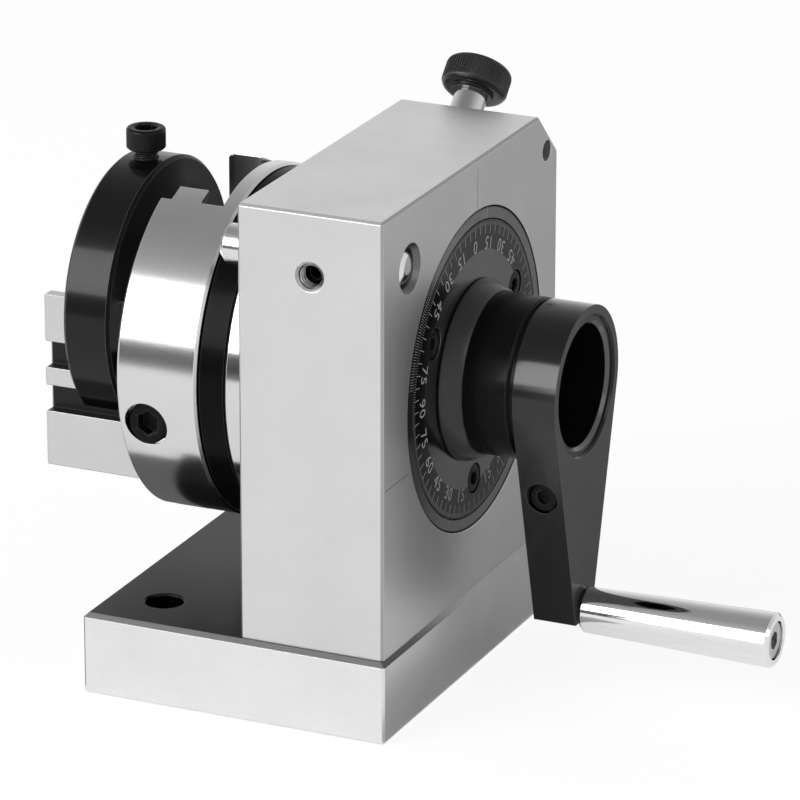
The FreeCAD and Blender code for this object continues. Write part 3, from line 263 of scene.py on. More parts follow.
def surface(tree, colour, roughness, height, normal, metallic=1.0, strength=0.05, coat=0.0, **constants):
    """Principled surface with a fine bump over softened edges."""
    bump = add(tree, "ShaderNodeBump", {"Height": height, "Strength": strength, "Distance": 0.00002,
                                        "Normal": normal})
    shader = add(tree, "ShaderNodeBsdfPrincipled", {"Base Color": colour, "Metallic": metallic,
                                                    "Roughness": roughness, "Normal": bump.outputs[0],
                                                    "Coat Weight": coat})
    for name, value in constants.items():
        shader.inputs[name.replace("_", " ")].default_value = value
    add(tree, "ShaderNodeOutputMaterial", {"Surface": shader.outputs[0]})


def ground_steel(name, stretch, tone=0.74, roughness=0.33, top_tone=None, dark_zone=None,
                 edge_tone=0.95):
    """Ground tool steel, its marks running along the axis of least stretch. A dark zone is a
    mask, made by a function of the tree and its coordinates, where the steel is coloured near black."""
    material = new_material(name)
    tree = material.node_tree
    coords = add(tree, "ShaderNodeTexCoord")
    marks = put_group(tree, grinding, {"Vector": coords.outputs["Object"], "Stretch": stretch})
    edge = put_group(tree, edges, {"Radius": 0.0003})
    cloudy = do_math(tree, "MULTIPLY", marks["Cloud"], 0.5)
    level = do_math(tree, "MULTIPLY_ADD", marks["Height"], 0.5, cloudy)
    colour = mix_colour(tree, level, grey(tone * 0.86), grey(tone * 1.12))
    # Faces that point up take the top tone; the upright's lighter top is painted light from above.
    if top_tone:
        upward = add(tree, "ShaderNodeSeparateXYZ", {0: coords.outputs["Normal"]}).outputs["Z"]
        dark = mix_colour(tree, level, grey(top_tone * 0.8), grey(top_tone * 1.2))
        colour = mix_colour(tree, step_mask(tree, upward, 0.8, 0.9), colour, dark)
    # Edges mixed towards the edge tone: partly wear, partly a painted highlight where it is pale.
    colour = mix_colour(tree, do_math(tree, "MULTIPLY", edge["Mask"], 0.6), colour, grey(edge_tone))
    if dark_zone:
        colour = mix_colour(tree, dark_zone(tree, coords), colour, grey(0.03))
    surface(tree, colour, span(tree, marks["Height"], roughness - 0.06, roughness + 0.07),
            marks["Height"], edge["Soft Normal"])
    return material


def dress(material, *names):
    """Give CAD nodes their material."""
    for name in names:
        data = nodes[name].data
        data.materials.clear()
        data.materials.append(material)


def distance(tree, first, second):
    """Length of the line whose two sides are given."""
    squares = [do_math(tree, "MULTIPLY", side, side) for side in (first, second)]
    return do_math(tree, "SQRT", do_math(tree, "ADD", *squares))


def normal_part(tree, coords, axis):
    """Share of a face's outward direction that lies along an axis."""
    return add(tree, "ShaderNodeSeparateXYZ", {0: coords.outputs["Normal"]}).outputs[axis]


HOLE_RADIUS, HOLE_X, HOLE_Y = 0.0045, -0.0245, 0.037
HOLE_RIM, STEP = 0.0006, 0.0001


def in_holes_and_bevels(tree, coords):
    """Mask of the hold-down holes' walls, painted dark as shade, and of the sloping bevels."""
    place = add(tree, "ShaderNodeSeparateXYZ", {0: coords.outputs["Object"]}).outputs
    across = do_math(tree, "SUBTRACT", place["X"], HOLE_X)
    aside = do_math(tree, "SUBTRACT", do_math(tree, "ABSOLUTE", place["Y"]), HOLE_Y)
    rim_radius = HOLE_RADIUS + HOLE_RIM
    wall = step_mask(tree, distance(tree, across, aside), rim_radius + STEP, rim_radius)
    upward = normal_part(tree, coords, "Z")
    slope = do_math(tree, "MULTIPLY", step_mask(tree, upward, 0.5, 0.6), step_mask(tree, upward, 0.8, 0.75))
    return do_math(tree, "MAXIMUM", wall, do_math(tree, "MULTIPLY", slope, 0.6))


dress(ground_steel("ground_base", (260, 9000, 9000), tone=0.84, roughness=0.3, top_tone=0.036,
                   dark_zone=in_holes_and_bevels, edge_tone=0.6), "base_plate")

# Upright housing: the ground block that carries the spindle. Thin lines are scribed on its
# right face beside the dial, and the small hole in its front face is threaded.
UPRIGHT_MIDDLE, UPRIGHT_FRONT = 19.5, -50
PIN_Y, PIN_HEIGHT = -35.3, 110
PIN_HOLE_RIM = 0.0080


def in_hole_and_on_edges(tree, coords):
    """Mask of the pin hole's wall and bevel, painted dark as shade, and of the bevels along the right face.
    """
    place = add(tree, "ShaderNodeSeparateXYZ", {0: coords.outputs["Object"]}).outputs
    across = do_math(tree, "SUBTRACT", place["Y"], PIN_Y * MM)
    rise = do_math(tree, "SUBTRACT", place["Z"], PIN_HEIGHT * MM)
    facing_x = do_math(tree, "ABSOLUTE", normal_part(tree, coords, "X"))
    hole = do_math(tree, "MULTIPLY",
                   step_mask(tree, distance(tree, across, rise), PIN_HOLE_RIM + 5 * STEP, PIN_HOLE_RIM),
                   do_math(tree, "MULTIPLY", step_mask(tree, facing_x, 0.99, 0.9), 0.8))
    bevel = do_math(tree, "MULTIPLY", step_mask(tree, facing_x, 0.5, 0.6),
                    step_mask(tree, facing_x, 0.9, 0.8))
    return do_math(tree, "MAXIMUM", hole, do_math(tree, "MULTIPLY", bevel, 0.4))


# Painted light: the upright's top is coloured lighter than its sides.
dress(ground_steel("ground_upright", (9000, 9000, 260), tone=0.66, roughness=0.4, top_tone=0.88,
                   dark_zone=in_hole_and_on_edges), "upright_housing")


SMOOTH_BELOW = math.radians(32)


def finish_piece(name, mesh, material, body):
    """Object made of a mesh in millimetres, riding on a body."""
    bmesh.ops.recalc_face_normals(mesh, faces=mesh.faces)
    mesh.transform(Matrix.Scale(MM, 4))
    data = bpy.data.meshes.new(name)
    mesh.to_mesh(data)
    mesh.free()
    data.shade_smooth()
    data.set_sharp_from_angle(angle=SMOOTH_BELOW)
    data.materials.append(material)
    piece = bpy.data.objects.new(name, data)
    bpy.context.scene.collection.objects.link(piece)
    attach(piece, body)
    return piece


def add_bar(mesh, low, high):
    """Small block between two corners."""
    size, middle = Vector(high) - Vector(low), (Vector(high) + Vector(low)) / 2
    place = Matrix.Translation(middle) @ Matrix.Diagonal((*size, 1))
    bmesh.ops.create_cube(mesh, size=1.0, matrix=place)


def line_paint(name, tone, roughness):
    """Paint rubbed into fine engraved lines, a little uneven."""
    material = new_material(name)
    tree = material.node_tree
    coords = add(tree, "ShaderNodeTexCoord")
    patches = noise(tree, coords.outputs["Object"], 900.0)
    edge = put_group(tree, edges, {"Radius": 0.00002})
    colour = mix_colour(tree, patches, grey(tone * 0.7), grey(min(1, tone * 1.15)))
    surface(tree, colour, span(tree, patches, roughness - 0.1, roughness + 0.1), patches,
            edge["Soft Normal"], metallic=0.0, strength=0.1)
    return material


LINE_BACK, LINE_FRONT, LINE_WIDTH = 37.45, 37.51, 0.18

scribed = bmesh.new()
add_bar(scribed, (LINE_BACK, 2.6, 113.3), (LINE_FRONT, 2.6 + LINE_WIDTH, 122.8))
add_bar(scribed, (LINE_BACK, -49.0, 60.9), (LINE_FRONT, -36.2, 60.9 + LINE_WIDTH))
finish_piece("scribed_lines", scribed, line_paint("scribed_dark", 0.12, 0.6), "frame")


def stack(mesh, place, rows, corners=96):
    """Surface through rings of points. Each row has a height, and a radius for every angle
    or None for a single point on the axis."""
    rings = []
    for height, radius in rows:
        if radius is None:
            rings.append([mesh.verts.new(place @ Vector((0, 0, height)))])
            continue
        ring = []
        for corner in range(corners):
            angle = math.tau * corner / corners
            reach = radius(angle, height)
            spot = Vector((reach * math.cos(angle), reach * math.sin(angle), height))
            ring.append(mesh.verts.new(place @ spot))
        rings.append(ring)
    for low, high in zip(rings, rings[1:]):
        for corner in range(corners):
            following = (corner + 1) % corners
            around = [low[corner % len(low)], low[following % len(low)],
                      high[following % len(high)], high[corner % len(high)]]
            mesh.faces.new(list(dict.fromkeys(around)))


def plain(radius):
    """The same radius at every angle."""
    return lambda angle, height: radius


def threaded(radius, pitch, depth):
    """Screw thread: a ridge that climbs one pitch in each turn."""
    return lambda angle, height: radius - depth * abs((height / pitch - angle / math.tau) % 1 * 2 - 1)


def facing(origin, direction):
    """Place whose own upward axis points in a direction."""
    return Matrix.Translation(origin) @ Vector(direction).to_track_quat("Z", "Y").to_matrix().to_4x4()


THREAD_STEPS = 5


def thread_rows(low, high, pitch, radius, depth):
    """Rows of a thread between two heights."""
    count = round((high - low) / pitch * THREAD_STEPS)
    return [(low + (high - low) * step / count, threaded(radius, pitch, depth)) for step in range(count + 1)]


hole_thread = bmesh.new()
stack(hole_thread, facing((UPRIGHT_MIDDLE, UPRIGHT_FRONT, PIN_HEIGHT), (0, -1, 0)),
      thread_rows(low=-3.7, high=-0.7, pitch=1.0, radius=3.02, depth=0.5), corners=64)
finish_piece("pin_hole_thread", hole_thread, ground_steel("cut_thread", (60, 60, 60), tone=0.5), "frame")

# Base bolts and dowels: two socket-head bolts and two ground dowels hold the upright from
# below. The bolts are blacked, rolled and knurled like every cap screw here.


def six_sided(flats):
    """Hexagon of a width across its flats."""
    sixth = math.pi / 3
    return lambda angle, height: flats / 2 / math.cos((angle + sixth / 2) % sixth - sixth / 2)


def knurled(radius, ridges, depth):
    """Round with fine upright grooves."""
    return lambda angle, height: radius - depth * (0.5 - 0.5 * math.cos(ridges * angle))


def turning_marks(tree, coords, centre, axis, spacing):
    """Marks left by a lathe about an axis, with the distances along and from it."""
    return put_group(tree, turning, {"Vector": coords.outputs["Object"], "Centre": Vector(centre) * MM,
                                     "Axis": axis, "Spacing": spacing})


# Turning marks: fine rings about an axis, on round faces and flat ones alike.
turning, given, result = new_group(
    "turning_marks",
    [("Vector", "NodeSocketVector", None), ("Centre", "NodeSocketVector", (0, 0, 0)),
     ("Axis", "NodeSocketVector", (1, 0, 0)), ("Spacing", "NodeSocketFloat", 5000.0)],
    [("Height", "NodeSocketFloat"), ("Cloud", "NodeSocketFloat"), ("Along", "NodeSocketFloat"),
     ("Radius", "NodeSocketFloat")])
away = vector_math(turning, "SUBTRACT", given["Vector"], given["Centre"]).outputs[0]
along = vector_math(turning, "DOT_PRODUCT", away, given["Axis"]).outputs["Value"]
on_axis = add(turning, "ShaderNodeVectorMath", {0: given["Axis"], "Scale": along}, operation="SCALE")
outward = vector_math(turning, "SUBTRACT", away, on_axis.outputs[0]).outputs[0]
radius = vector_math(turning, "LENGTH", outward).outputs["Value"]
rings = add(turning, "ShaderNodeCombineXYZ", {0: do_math(turning, "MULTIPLY", along, given["Spacing"]),
                                             1: do_math(turning, "MULTIPLY", radius, given["Spacing"])})
turning.links.new(noise(turning, rings.outputs[0], 1.0, detail=2.0, roughness=0.7), result["Height"])
turning.links.new(noise(turning, given["Vector"], 90.0), result["Cloud"])
turning.links.new(along, result["Along"])
turning.links.new(radius, result["Radius"])


def blacked_steel(name, centre, axis, tone=0.004, roughness=0.3, spacing=5000.0, worn=0.4, shine=0.12,
                  face_tone=None, coat=0.15):
    """Steel turned about an axis and blacked, with its edges rubbed thin. A face tone is for
    the flat faces that point along +X. The coat is the oily shine of the round sides."""
    material = new_material(name)
    tree = material.node_tree
    coords = add(tree, "ShaderNodeTexCoord")
    marks = turning_marks(tree, coords, centre, axis, spacing)
    edge = put_group(tree, edges, {"Radius": 0.00025})
    colour = mix_colour(tree, marks["Cloud"], grey(tone * 0.7), grey(tone * 1.4))
    if face_tone:
        outward = normal_part(tree, coords, "X")
        flat_face = mix_colour(tree, marks["Cloud"], grey(face_tone * 0.8), grey(face_tone * 1.25))
        colour = mix_colour(tree, step_mask(tree, outward, 0.9, 0.95), colour, flat_face)
    colour = mix_colour(tree, do_math(tree, "MULTIPLY", edge["Mask"], worn), colour, grey(0.16))
    endwise = vector_math(tree, "DOT_PRODUCT", coords.outputs["Normal"], axis).outputs["Value"]
    round_side = step_mask(tree, do_math(tree, "ABSOLUTE", endwise), 0.7, 0.4)
    oily = do_math(tree, "MULTIPLY", round_side, coat) if coat else 0.0
    surface(tree, colour, span(tree, marks["Height"], roughness - 0.07, roughness + 0.08),
            marks["Height"], edge["Soft Normal"], metallic=0.0, strength=0.08, coat=oily,
            Specular_IOR_Level=shine, Coat_Roughness=0.12)
    return material


HEAD_RIDGES = 48
HEAD_CORNERS = 4 * HEAD_RIDGES
THREAD_PITCHES = {4: 0.7, 5: 0.8, 6: 1.0, 8: 1.25}


def add_cap_screw(mesh, origin, direction, head, shank, socket, ridge_depth=0.16):
    """Socket-head screw: origin under its head, which points along the direction."""
    place = facing(origin, direction)
    head_dia, head_height = head
    shank_dia, shank_length = shank
    flats, depth = socket
    reach, edge, pitch = head_dia / 2, head_dia * 0.08, THREAD_PITCHES[shank_dia]
    side = knurled(reach, HEAD_RIDGES, ridge_depth)
    crown = [(head_height - edge + edge * math.sin(turn), plain(reach - edge + edge * math.cos(turn)))
             for turn in (math.radians(step) for step in (90, 70, 50, 30))]
    stack(mesh, place, [
        (head_height - depth - flats * 0.12, None), (head_height - depth, six_sided(flats * 0.92)),
        (head_height - depth, six_sided(flats)), (head_height - 0.25, six_sided(flats)),
        (head_height, plain(flats * 0.62)), *crown, (head_height - edge * 0.8, plain(reach)),
        (head_height - edge * 1.3, side), (0.5, side), (0.3, plain(reach - 0.1)), (0, plain(reach - 0.4)),
        (0, None)], corners=HEAD_CORNERS)
    crest = shank_dia / 2
    stack(mesh, place, [
        (0.1, None), (0.1, plain(crest)), (-0.6 * pitch, plain(crest)),
        *thread_rows(-shank_length + 0.5 * pitch, -0.7 * pitch, pitch, crest, 0.55 * pitch)[::-1],
        (-shank_length, plain(crest - 0.6 * pitch)), (-shank_length, None)], corners=48)


BOLT_Y, BOLT_SEAT = 30, 9
UNDER_MIDDLE, UPWARD = (UPRIGHT_MIDDLE, 0, 0), (0, 0, 1)

base_bolts = bmesh.new()
for y in (-BOLT_Y, BOLT_Y):
    add_cap_screw(base_bolts, (UPRIGHT_MIDDLE, y, BOLT_SEAT), (0, 0, -1), head=(13, 8), shank=(8, 26),
                  socket=(6, 3))
bolts = finish_piece("base_bolt_pair", base_bolts,
                     blacked_steel("bolt_black", UNDER_MIDDLE, UPWARD, roughness=0.42), "frame")
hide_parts("base_bolts")


def turned_steel(name, centre, axis, tone=0.72, roughness=0.24, spacing=5000.0, strength=0.05):
    """Bright steel with the marks of turning or round grinding about an axis."""
    material = new_material(name)
    tree = material.node_tree
    coords = add(tree, "ShaderNodeTexCoord")
    marks = turning_marks(tree, coords, centre, axis, spacing)
    edge = put_group(tree, edges, {"Radius": 0.00025})
    cloudy = do_math(tree, "MULTIPLY", marks["Cloud"], 0.45)
    level = do_math(tree, "MULTIPLY_ADD", marks["Height"], 0.55, cloudy)
    colour = mix_colour(tree, level, grey(tone * 0.88), grey(tone * 1.1))
    # Paler edges: partly wear, partly a painted highlight.
    colour = mix_colour(tree, do_math(tree, "MULTIPLY", edge["Mask"], 0.5), colour, grey(0.95))
    surface(tree, colour, span(tree, marks["Height"], roughness - 0.05, roughness + 0.06),
            marks["Height"], edge["Soft Normal"], strength=strength)
    return material


dress(turned_steel("dowel_ground", UNDER_MIDDLE, UPWARD, roughness=0.2), "dowel_pins")

# Bushes and bearing cap: bronze bushes pressed into the upright and its cap carry the
# spindle. The cap is turned steel.
AXIS_POINT = (0, 2, 74)
ALONG_SPINDLE = (1, 0, 0)


def turned_bronze(name, centre, axis):
    """Turned bronze, darker where oil has stood."""
    material = new_material(name)
    tree = material.node_tree
    coords = add(tree, "ShaderNodeTexCoord")
    marks = turning_marks(tree, coords, centre, axis, 4000.0)
    edge = put_group(tree, edges, {"Radius": 0.0002})
    colour = mix_colour(tree, marks["Cloud"], (0.36, 0.2, 0.08, 1), (0.62, 0.38, 0.18, 1))
    # Paler edges: partly wear, partly a painted highlight.
    colour = mix_colour(tree, do_math(tree, "MULTIPLY", edge["Mask"], 0.4), colour, (0.8, 0.6, 0.36, 1))
    surface(tree, colour, span(tree, marks["Height"], 0.24, 0.4), marks["Height"], edge["Soft Normal"])
    return material


dress(turned_bronze("bush_bronze", AXIS_POINT, ALONG_SPINDLE), "left_bush", "right_bush")
dress(turned_steel("cap_turned", AXIS_POINT, ALONG_SPINDLE, tone=0.6, roughness=0.32), "bearing_cap")

# Spindle: a hollow steel shaft, ground bright on its journals and its flange. Its nose is
# blacked, its bore is painted black as shade, and the small bevel at the mouth of the bore shows grey.
BORE_RADIUS, RIM_RADIUS, NOSE_START, BORE_SHADE_START = 0.0145, 0.0154, 0.0425, -0.013

spindle_steel = new_material("spindle_ground")
tree = spindle_steel.node_tree
coords = add(tree, "ShaderNodeTexCoord")
marks = turning_marks(tree, coords, AXIS_POINT, ALONG_SPINDLE, 5000.0)
edge = put_group(tree, edges, {"Radius": 0.00025})
bright = mix_colour(tree, marks["Cloud"], grey(0.62), grey(0.8))
# Paler edges: partly wear, partly a painted highlight.
bright = mix_colour(tree, do_math(tree, "MULTIPLY", edge["Mask"], 0.5), bright, grey(0.95))
black = mix_colour(tree, marks["Cloud"], grey(0.003), grey(0.007))
bevel = do_math(tree, "MULTIPLY", step_mask(tree, marks["Radius"], BORE_RADIUS + 0.00002, BORE_RADIUS + STEP),
                step_mask(tree, marks["Radius"], RIM_RADIUS, RIM_RADIUS - 0.00008))
black = mix_colour(tree, bevel, black, grey(0.1))
# Painted shade: the inside of the bore is coloured near black.
bore_shade = do_math(tree, "MULTIPLY",
                  step_mask(tree, marks["Along"], BORE_SHADE_START, BORE_SHADE_START + 10 * STEP),
                  step_mask(tree, marks["Radius"], BORE_RADIUS + 2 * STEP, BORE_RADIUS + STEP / 2))
on_nose = step_mask(tree, marks["Along"], NOSE_START, NOSE_START + 2 * STEP)
nose_black_and_bore_shade = do_math(tree, "MAXIMUM", on_nose, bore_shade)
surface(tree, mix_colour(tree, nose_black_and_bore_shade, bright, black), span(tree, marks["Height"], 0.08, 0.16),
        marks["Height"], edge["Soft Normal"], metallic=do_math(tree, "SUBTRACT", 1.0, nose_black_and_bore_shade), strength=0.02)
dress(spindle_steel, "spindle")

# Index disc and key: a hardened disc with ground notches, keyed to the spindle inside the
# upright, where the plunger finds it.
dress(turned_steel("index_ground", AXIS_POINT, ALONG_SPINDLE, tone=0.66, roughness=0.28), "index_disc")
dress(ground_steel("key_ground", (260, 9000, 9000), tone=0.6), "index_key")

# Dial: a glossy black disc on a black carrier, with a darker band round it. Every fifth
# degree has an engraved line and every fifteenth its number, from 0 to 90 and back, all
# filled with pale paint. The three places at a screw have no number.
BAND_START = 0.0281

dial_metal = new_material("dial_anodised")
tree = dial_metal.node_tree
coords = add(tree, "ShaderNodeTexCoord")
marks = turning_marks(tree, coords, AXIS_POINT, ALONG_SPINDLE, 7000.0)
edge = put_group(tree, edges, {"Radius": 0.0002})
band = step_mask(tree, marks["Radius"], BAND_START, BAND_START + 3 * STEP)
satin = mix_colour(tree, marks["Cloud"], grey(0.15), grey(0.23))
dark = mix_colour(tree, marks["Cloud"], grey(0.003), grey(0.006))
colour = mix_colour(tree, band, satin, dark)
# Paler edges: partly wear, partly a painted highlight.
colour = mix_colour(tree, do_math(tree, "MULTIPLY", edge["Mask"], 0.35), colour, grey(0.25))
surface(tree, colour, span(tree, marks["Height"], 0.14, 0.22), marks["Height"], edge["Soft Normal"],
        metallic=do_math(tree, "SUBTRACT", 1.0, band), strength=0.04, Specular_IOR_Level=0.35)
dress(dial_metal, "dial_plate")
dress(blacked_steel("carrier_black", AXIS_POINT, ALONG_SPINDLE), "dial_carrier")


def new_recipe(name, inputs):
    """Geometry node tree with named inputs and one geometry output."""
    recipe = bpy.data.node_groups.new(name, "GeometryNodeTree")
    recipe.is_modifier = True
    recipe.interface.new_socket(name="Geometry", in_out="OUTPUT", socket_type="NodeSocketGeometry")
    for label, kind in inputs:
        recipe.interface.new_socket(name=label, in_out="INPUT", socket_type=kind)
    return recipe, recipe.nodes.new("NodeGroupInput").outputs, recipe.nodes.new("NodeGroupOutput").inputs


def grow(name, recipe, values):
    """Object whose mesh a geometry node tree makes from named values."""
    seed = bpy.data.objects.new(name, bpy.data.meshes.new(name + "_seed"))
    bpy.context.scene.collection.objects.link(seed)
    modifier = seed.modifiers.new("recipe", "NODES")
    modifier.node_group = recipe
    for item in recipe.interface.items_tree:
        if item.item_type == "SOCKET" and item.in_out == "INPUT":
            modifier[item.identifier] = values[item.name]
    seed.update_tag()
    bpy.context.view_layer.update()
    drawn = seed.evaluated_get(bpy.context.evaluated_depsgraph_get())
    data = bpy.data.meshes.new_from_object(drawn)
    seed.modifiers.remove(modifier)
    seed.data = data
    data.name = name
    return seed


# Tick recipe: equal thin bars round the spindle's axis, each pointing at it. Angles count
# from straight down, through the front.
tick_recipe, given, result = new_recipe("dial_ticks", [
    ("Count", "NodeSocketInt"), ("First Angle", "NodeSocketFloat"), ("Step Angle", "NodeSocketFloat"),
    ("Radius", "NodeSocketFloat"), ("Size", "NodeSocketVector"), ("Centre", "NodeSocketVector"),
    ("Paint", "NodeSocketMaterial")])
tree = tick_recipe
place_number = add(tree, "GeometryNodeInputIndex").outputs[0]
angle = do_math(tree, "MULTIPLY_ADD", place_number, given["Step Angle"], given["First Angle"])
across = do_math(tree, "MULTIPLY", do_math(tree, "SINE", angle), given["Radius"])
down = do_math(tree, "MULTIPLY", do_math(tree, "COSINE", angle), given["Radius"])
spot = add(tree, "ShaderNodeCombineXYZ", {1: do_math(tree, "MULTIPLY", across, -1.0),
                                          2: do_math(tree, "MULTIPLY", down, -1.0)}).outputs[0]
spots = add(tree, "GeometryNodePoints", {"Count": given["Count"], "Position": spot}).outputs[0]
bar = add(tree, "GeometryNodeMeshCube", {"Size": given["Size"]}).outputs["Mesh"]
lean = add(tree, "ShaderNodeCombineXYZ", {0: do_math(tree, "MULTIPLY", angle, -1.0)}).outputs[0]
lean = add(tree, "FunctionNodeEulerToRotation", {0: lean}).outputs[0]
bars = add(tree, "GeometryNodeInstanceOnPoints", {"Points": spots, "Instance": bar, "Rotation": lean})
bars = add(tree, "GeometryNodeRealizeInstances", {0: bars.outputs[0]}).outputs[0]
moved = add(tree, "GeometryNodeTransform", {"Geometry": bars, "Translation": given["Centre"]}).outputs[0]
painted = add(tree, "GeometryNodeSetMaterial", {"Geometry": moved, "Material": given["Paint"]}).outputs[0]
tree.links.new(painted, result["Geometry"])

DIAL_FACE = 37.3
DIAL_CENTRE = Vector(AXIS_POINT) + Vector((DIAL_FACE, 0, 0))
white_paint = line_paint("line_white", 0.4, 0.55)


def ring_of_ticks(name, body, count, first, step, radius, length, width):
    """Engraved lines round the dial, standing a hair proud of its face. Angles are in degrees
    and lengths in millimetres."""
    ticks = grow(name, tick_recipe, {
        "Count": count, "First Angle": math.radians(first), "Step Angle": math.radians(step),
        "Radius": radius * MM, "Size": Vector((0.06, width, length)) * MM, "Centre": DIAL_CENTRE * MM,
        "Paint": white_paint})
    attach(ticks, body)


ring_of_ticks("dial_lines", "spindle", count=72, first=0, step=5, radius=33.3, length=2.6, width=0.17)
ring_of_ticks("degree_lines", "spindle", count=360, first=0, step=1, radius=34.4, length=0.9, width=0.07)


def add_figure(mesh, text, angle, radius, size):
    """Number on the dial's face, its foot outward, at an angle counted as the ticks are."""
    curve = bpy.data.curves.new("figure", "FONT")
    curve.body = text
    curve.size = size
    curve.space_character = 1.08
    curve.align_x = "CENTER"
    curve.extrude = 0.02
    curve.resolution_u = 3
    holder = bpy.data.objects.new("figure", curve)
    data = bpy.data.meshes.new_from_object(holder)
    outward = Vector((0, -math.sin(angle), -math.cos(angle)))
    normal = Vector((1, 0, 0))
    turned_to = Matrix((-outward.cross(normal), -outward, normal)).transposed()
    place = Matrix.Translation(DIAL_CENTRE + outward * radius) @ turned_to.to_4x4()
    data.transform(place)
    mesh.from_mesh(data)
    bpy.data.objects.remove(holder)
    bpy.data.curves.remove(curve)
    bpy.data.meshes.remove(data)


FIGURE_STEP, SCREW_STEP = 15, 120

figures = bmesh.new()
for turn in range(0, 360, FIGURE_STEP):
    if turn % SCREW_STEP:
        add_figure(figures, str(min(turn % 180, -turn % 180)), math.radians(turn), radius=31.2, size=4.4)
finish_piece("dial_figures", figures, white_paint, "spindle")

# Dial screws: three black cap screws sunk in the dial hold it to its carrier.
SCREW_SEAT, SCREW_CIRCLE = 33.7, 27

dial_screws = bmesh.new()
for turn in range(0, 360, SCREW_STEP):
    angle = math.radians(turn)
    seat = Vector(AXIS_POINT) + Vector((SCREW_SEAT, 0, 0))
    out = Vector((0, -math.sin(angle), -math.cos(angle))) * SCREW_CIRCLE
    add_cap_screw(dial_screws, seat + out, ALONG_SPINDLE, head=(7, 3.5), shank=(4, 5.4), socket=(3, 1.8),
                  ridge_depth=0.08)
screws = finish_piece("dial_screw_set", dial_screws,
                      blacked_steel("dial_screw_black", AXIS_POINT, ALONG_SPINDLE, tone=0.012), "spindle")
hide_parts("dial_screws")

# Vernier ring: a thin dark ring fixed in the upright round the dial, with its rim and edges
# painted black as the shade of the gap round it, a quarter of a turn of single degrees and one
# longer zero line.
VERNIER_GAP_SHADE = 0.0380

vernier_metal = new_material("vernier_anodised")
tree = vernier_metal.node_tree
coords = add(tree, "ShaderNodeTexCoord")
marks = turning_marks(tree, coords, AXIS_POINT, ALONG_SPINDLE, 6000.0)
edge = put_group(tree, edges, {"Radius": 0.0002})
# Painted shade: the ring's outer rim and its edges are coloured black.
gap_shade = do_math(tree, "MAXIMUM", step_mask(tree, marks["Radius"], VERNIER_GAP_SHADE, VERNIER_GAP_SHADE + STEP),
                 edge["Mask"])
colour = mix_colour(tree, marks["Cloud"], grey(0.19), grey(0.27))
colour = mix_colour(tree, gap_shade, colour, grey(0.003))
surface(tree, colour, span(tree, marks["Height"], 0.2, 0.3), marks["Height"], edge["Soft Normal"],
        metallic=do_math(tree, "SUBTRACT", 1.0, gap_shade), strength=0.05, Specular_IOR_Level=0.1)
dress(vernier_metal, "vernier_ring")
ring_of_ticks("vernier_lines", "frame", count=91, first=100, step=1, radius=36.6, length=1.7, width=0.09)
ring_of_ticks("vernier_zero", "frame", count=1, first=190.5, step=1, radius=36.9, length=2.6, width=0.2)

# Collar, lock nut and spacer: blacked rings that clamp the dial and set the crank's place.
# The collar is turned to a cone.
COLLAR_BORE, COLLAR_END = 18.0, 42.4

collar = bmesh.new()
stack(collar, facing(AXIS_POINT, ALONG_SPINDLE), [
    (DIAL_FACE, plain(COLLAR_BORE)), (DIAL_FACE, plain(21.3)), (37.7, plain(21.6)), (38.3, plain(21.5)),
    (42.0, plain(19.75)), (COLLAR_END, plain(19.3)), (COLLAR_END, plain(COLLAR_BORE)),
    (DIAL_FACE, plain(COLLAR_BORE))])
bmesh.ops.remove_doubles(collar, verts=collar.verts, dist=0.001)
collar = finish_piece("thrust_collar_cone", collar,
                      blacked_steel("collar_black", AXIS_POINT, ALONG_SPINDLE, tone=0.022, shine=0.4),
                      "spindle")
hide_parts("thrust_collar")
dress(blacked_steel("nut_black", AXIS_POINT, ALONG_SPINDLE, tone=0.003, roughness=0.28, shine=0.1,
                    coat=0.1), "lock_nut",
      "crank_spacer")

# Crank: a boss and a tapered arm in one, milled and blacked, held by a cross screw. The
# marks on its flat faces run round the boss.
dress(blacked_steel("crank_black", AXIS_POINT, ALONG_SPINDLE, tone=0.003, roughness=0.15, spacing=3000.0,
                    shine=0.3, face_tone=0.045, coat=0.6), "crank_arm")
CROSS_X, CROSS_SEAT, CROSS_HEIGHT = 60.2, -6.5, 50
FORWARD, BACKWARD = (0, -1, 0), (0, 1, 0)

crank_screw = bmesh.new()
add_cap_screw(crank_screw, (CROSS_X, CROSS_SEAT, CROSS_HEIGHT), FORWARD, head=(7, 4), shank=(4, 14),
              socket=(3, 1.8), ridge_depth=0.08)
screw = finish_piece("crank_cross_screw", crank_screw,
                     blacked_steel("crank_screw_black", (CROSS_X, 0, CROSS_HEIGHT), BACKWARD, tone=0.006),
                     "spindle")
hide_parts("crank_screw")

# Handle: a chromed sleeve that turns freely on its steel shoulder pin.


def chrome(name, centre, axis):
    """Polished chrome with faint lengthwise rub marks and a finger-worn bloom."""
    material = new_material(name)
    tree = material.node_tree
    coords = add(tree, "ShaderNodeTexCoord")
    rubs = put_group(tree, grinding, {"Vector": coords.outputs["Object"], "Stretch": (60, 2600, 2600)})
    marks = turning_marks(tree, coords, centre, axis, 2000.0)
    edge = put_group(tree, edges, {"Radius": 0.0003})
    bloom = do_math(tree, "MULTIPLY", rubs["Cloud"], marks["Cloud"])
    colour = mix_colour(tree, rubs["Height"], grey(0.78), grey(0.95))
    # Paler edges: partly wear, partly a painted highlight.
    colour = mix_colour(tree, do_math(tree, "MULTIPLY", edge["Mask"], 0.5), colour, grey(1.0))
    surface(tree, colour, span(tree, bloom, 0.03, 0.2), rubs["Height"], edge["Soft Normal"], strength=0.03)
    return material


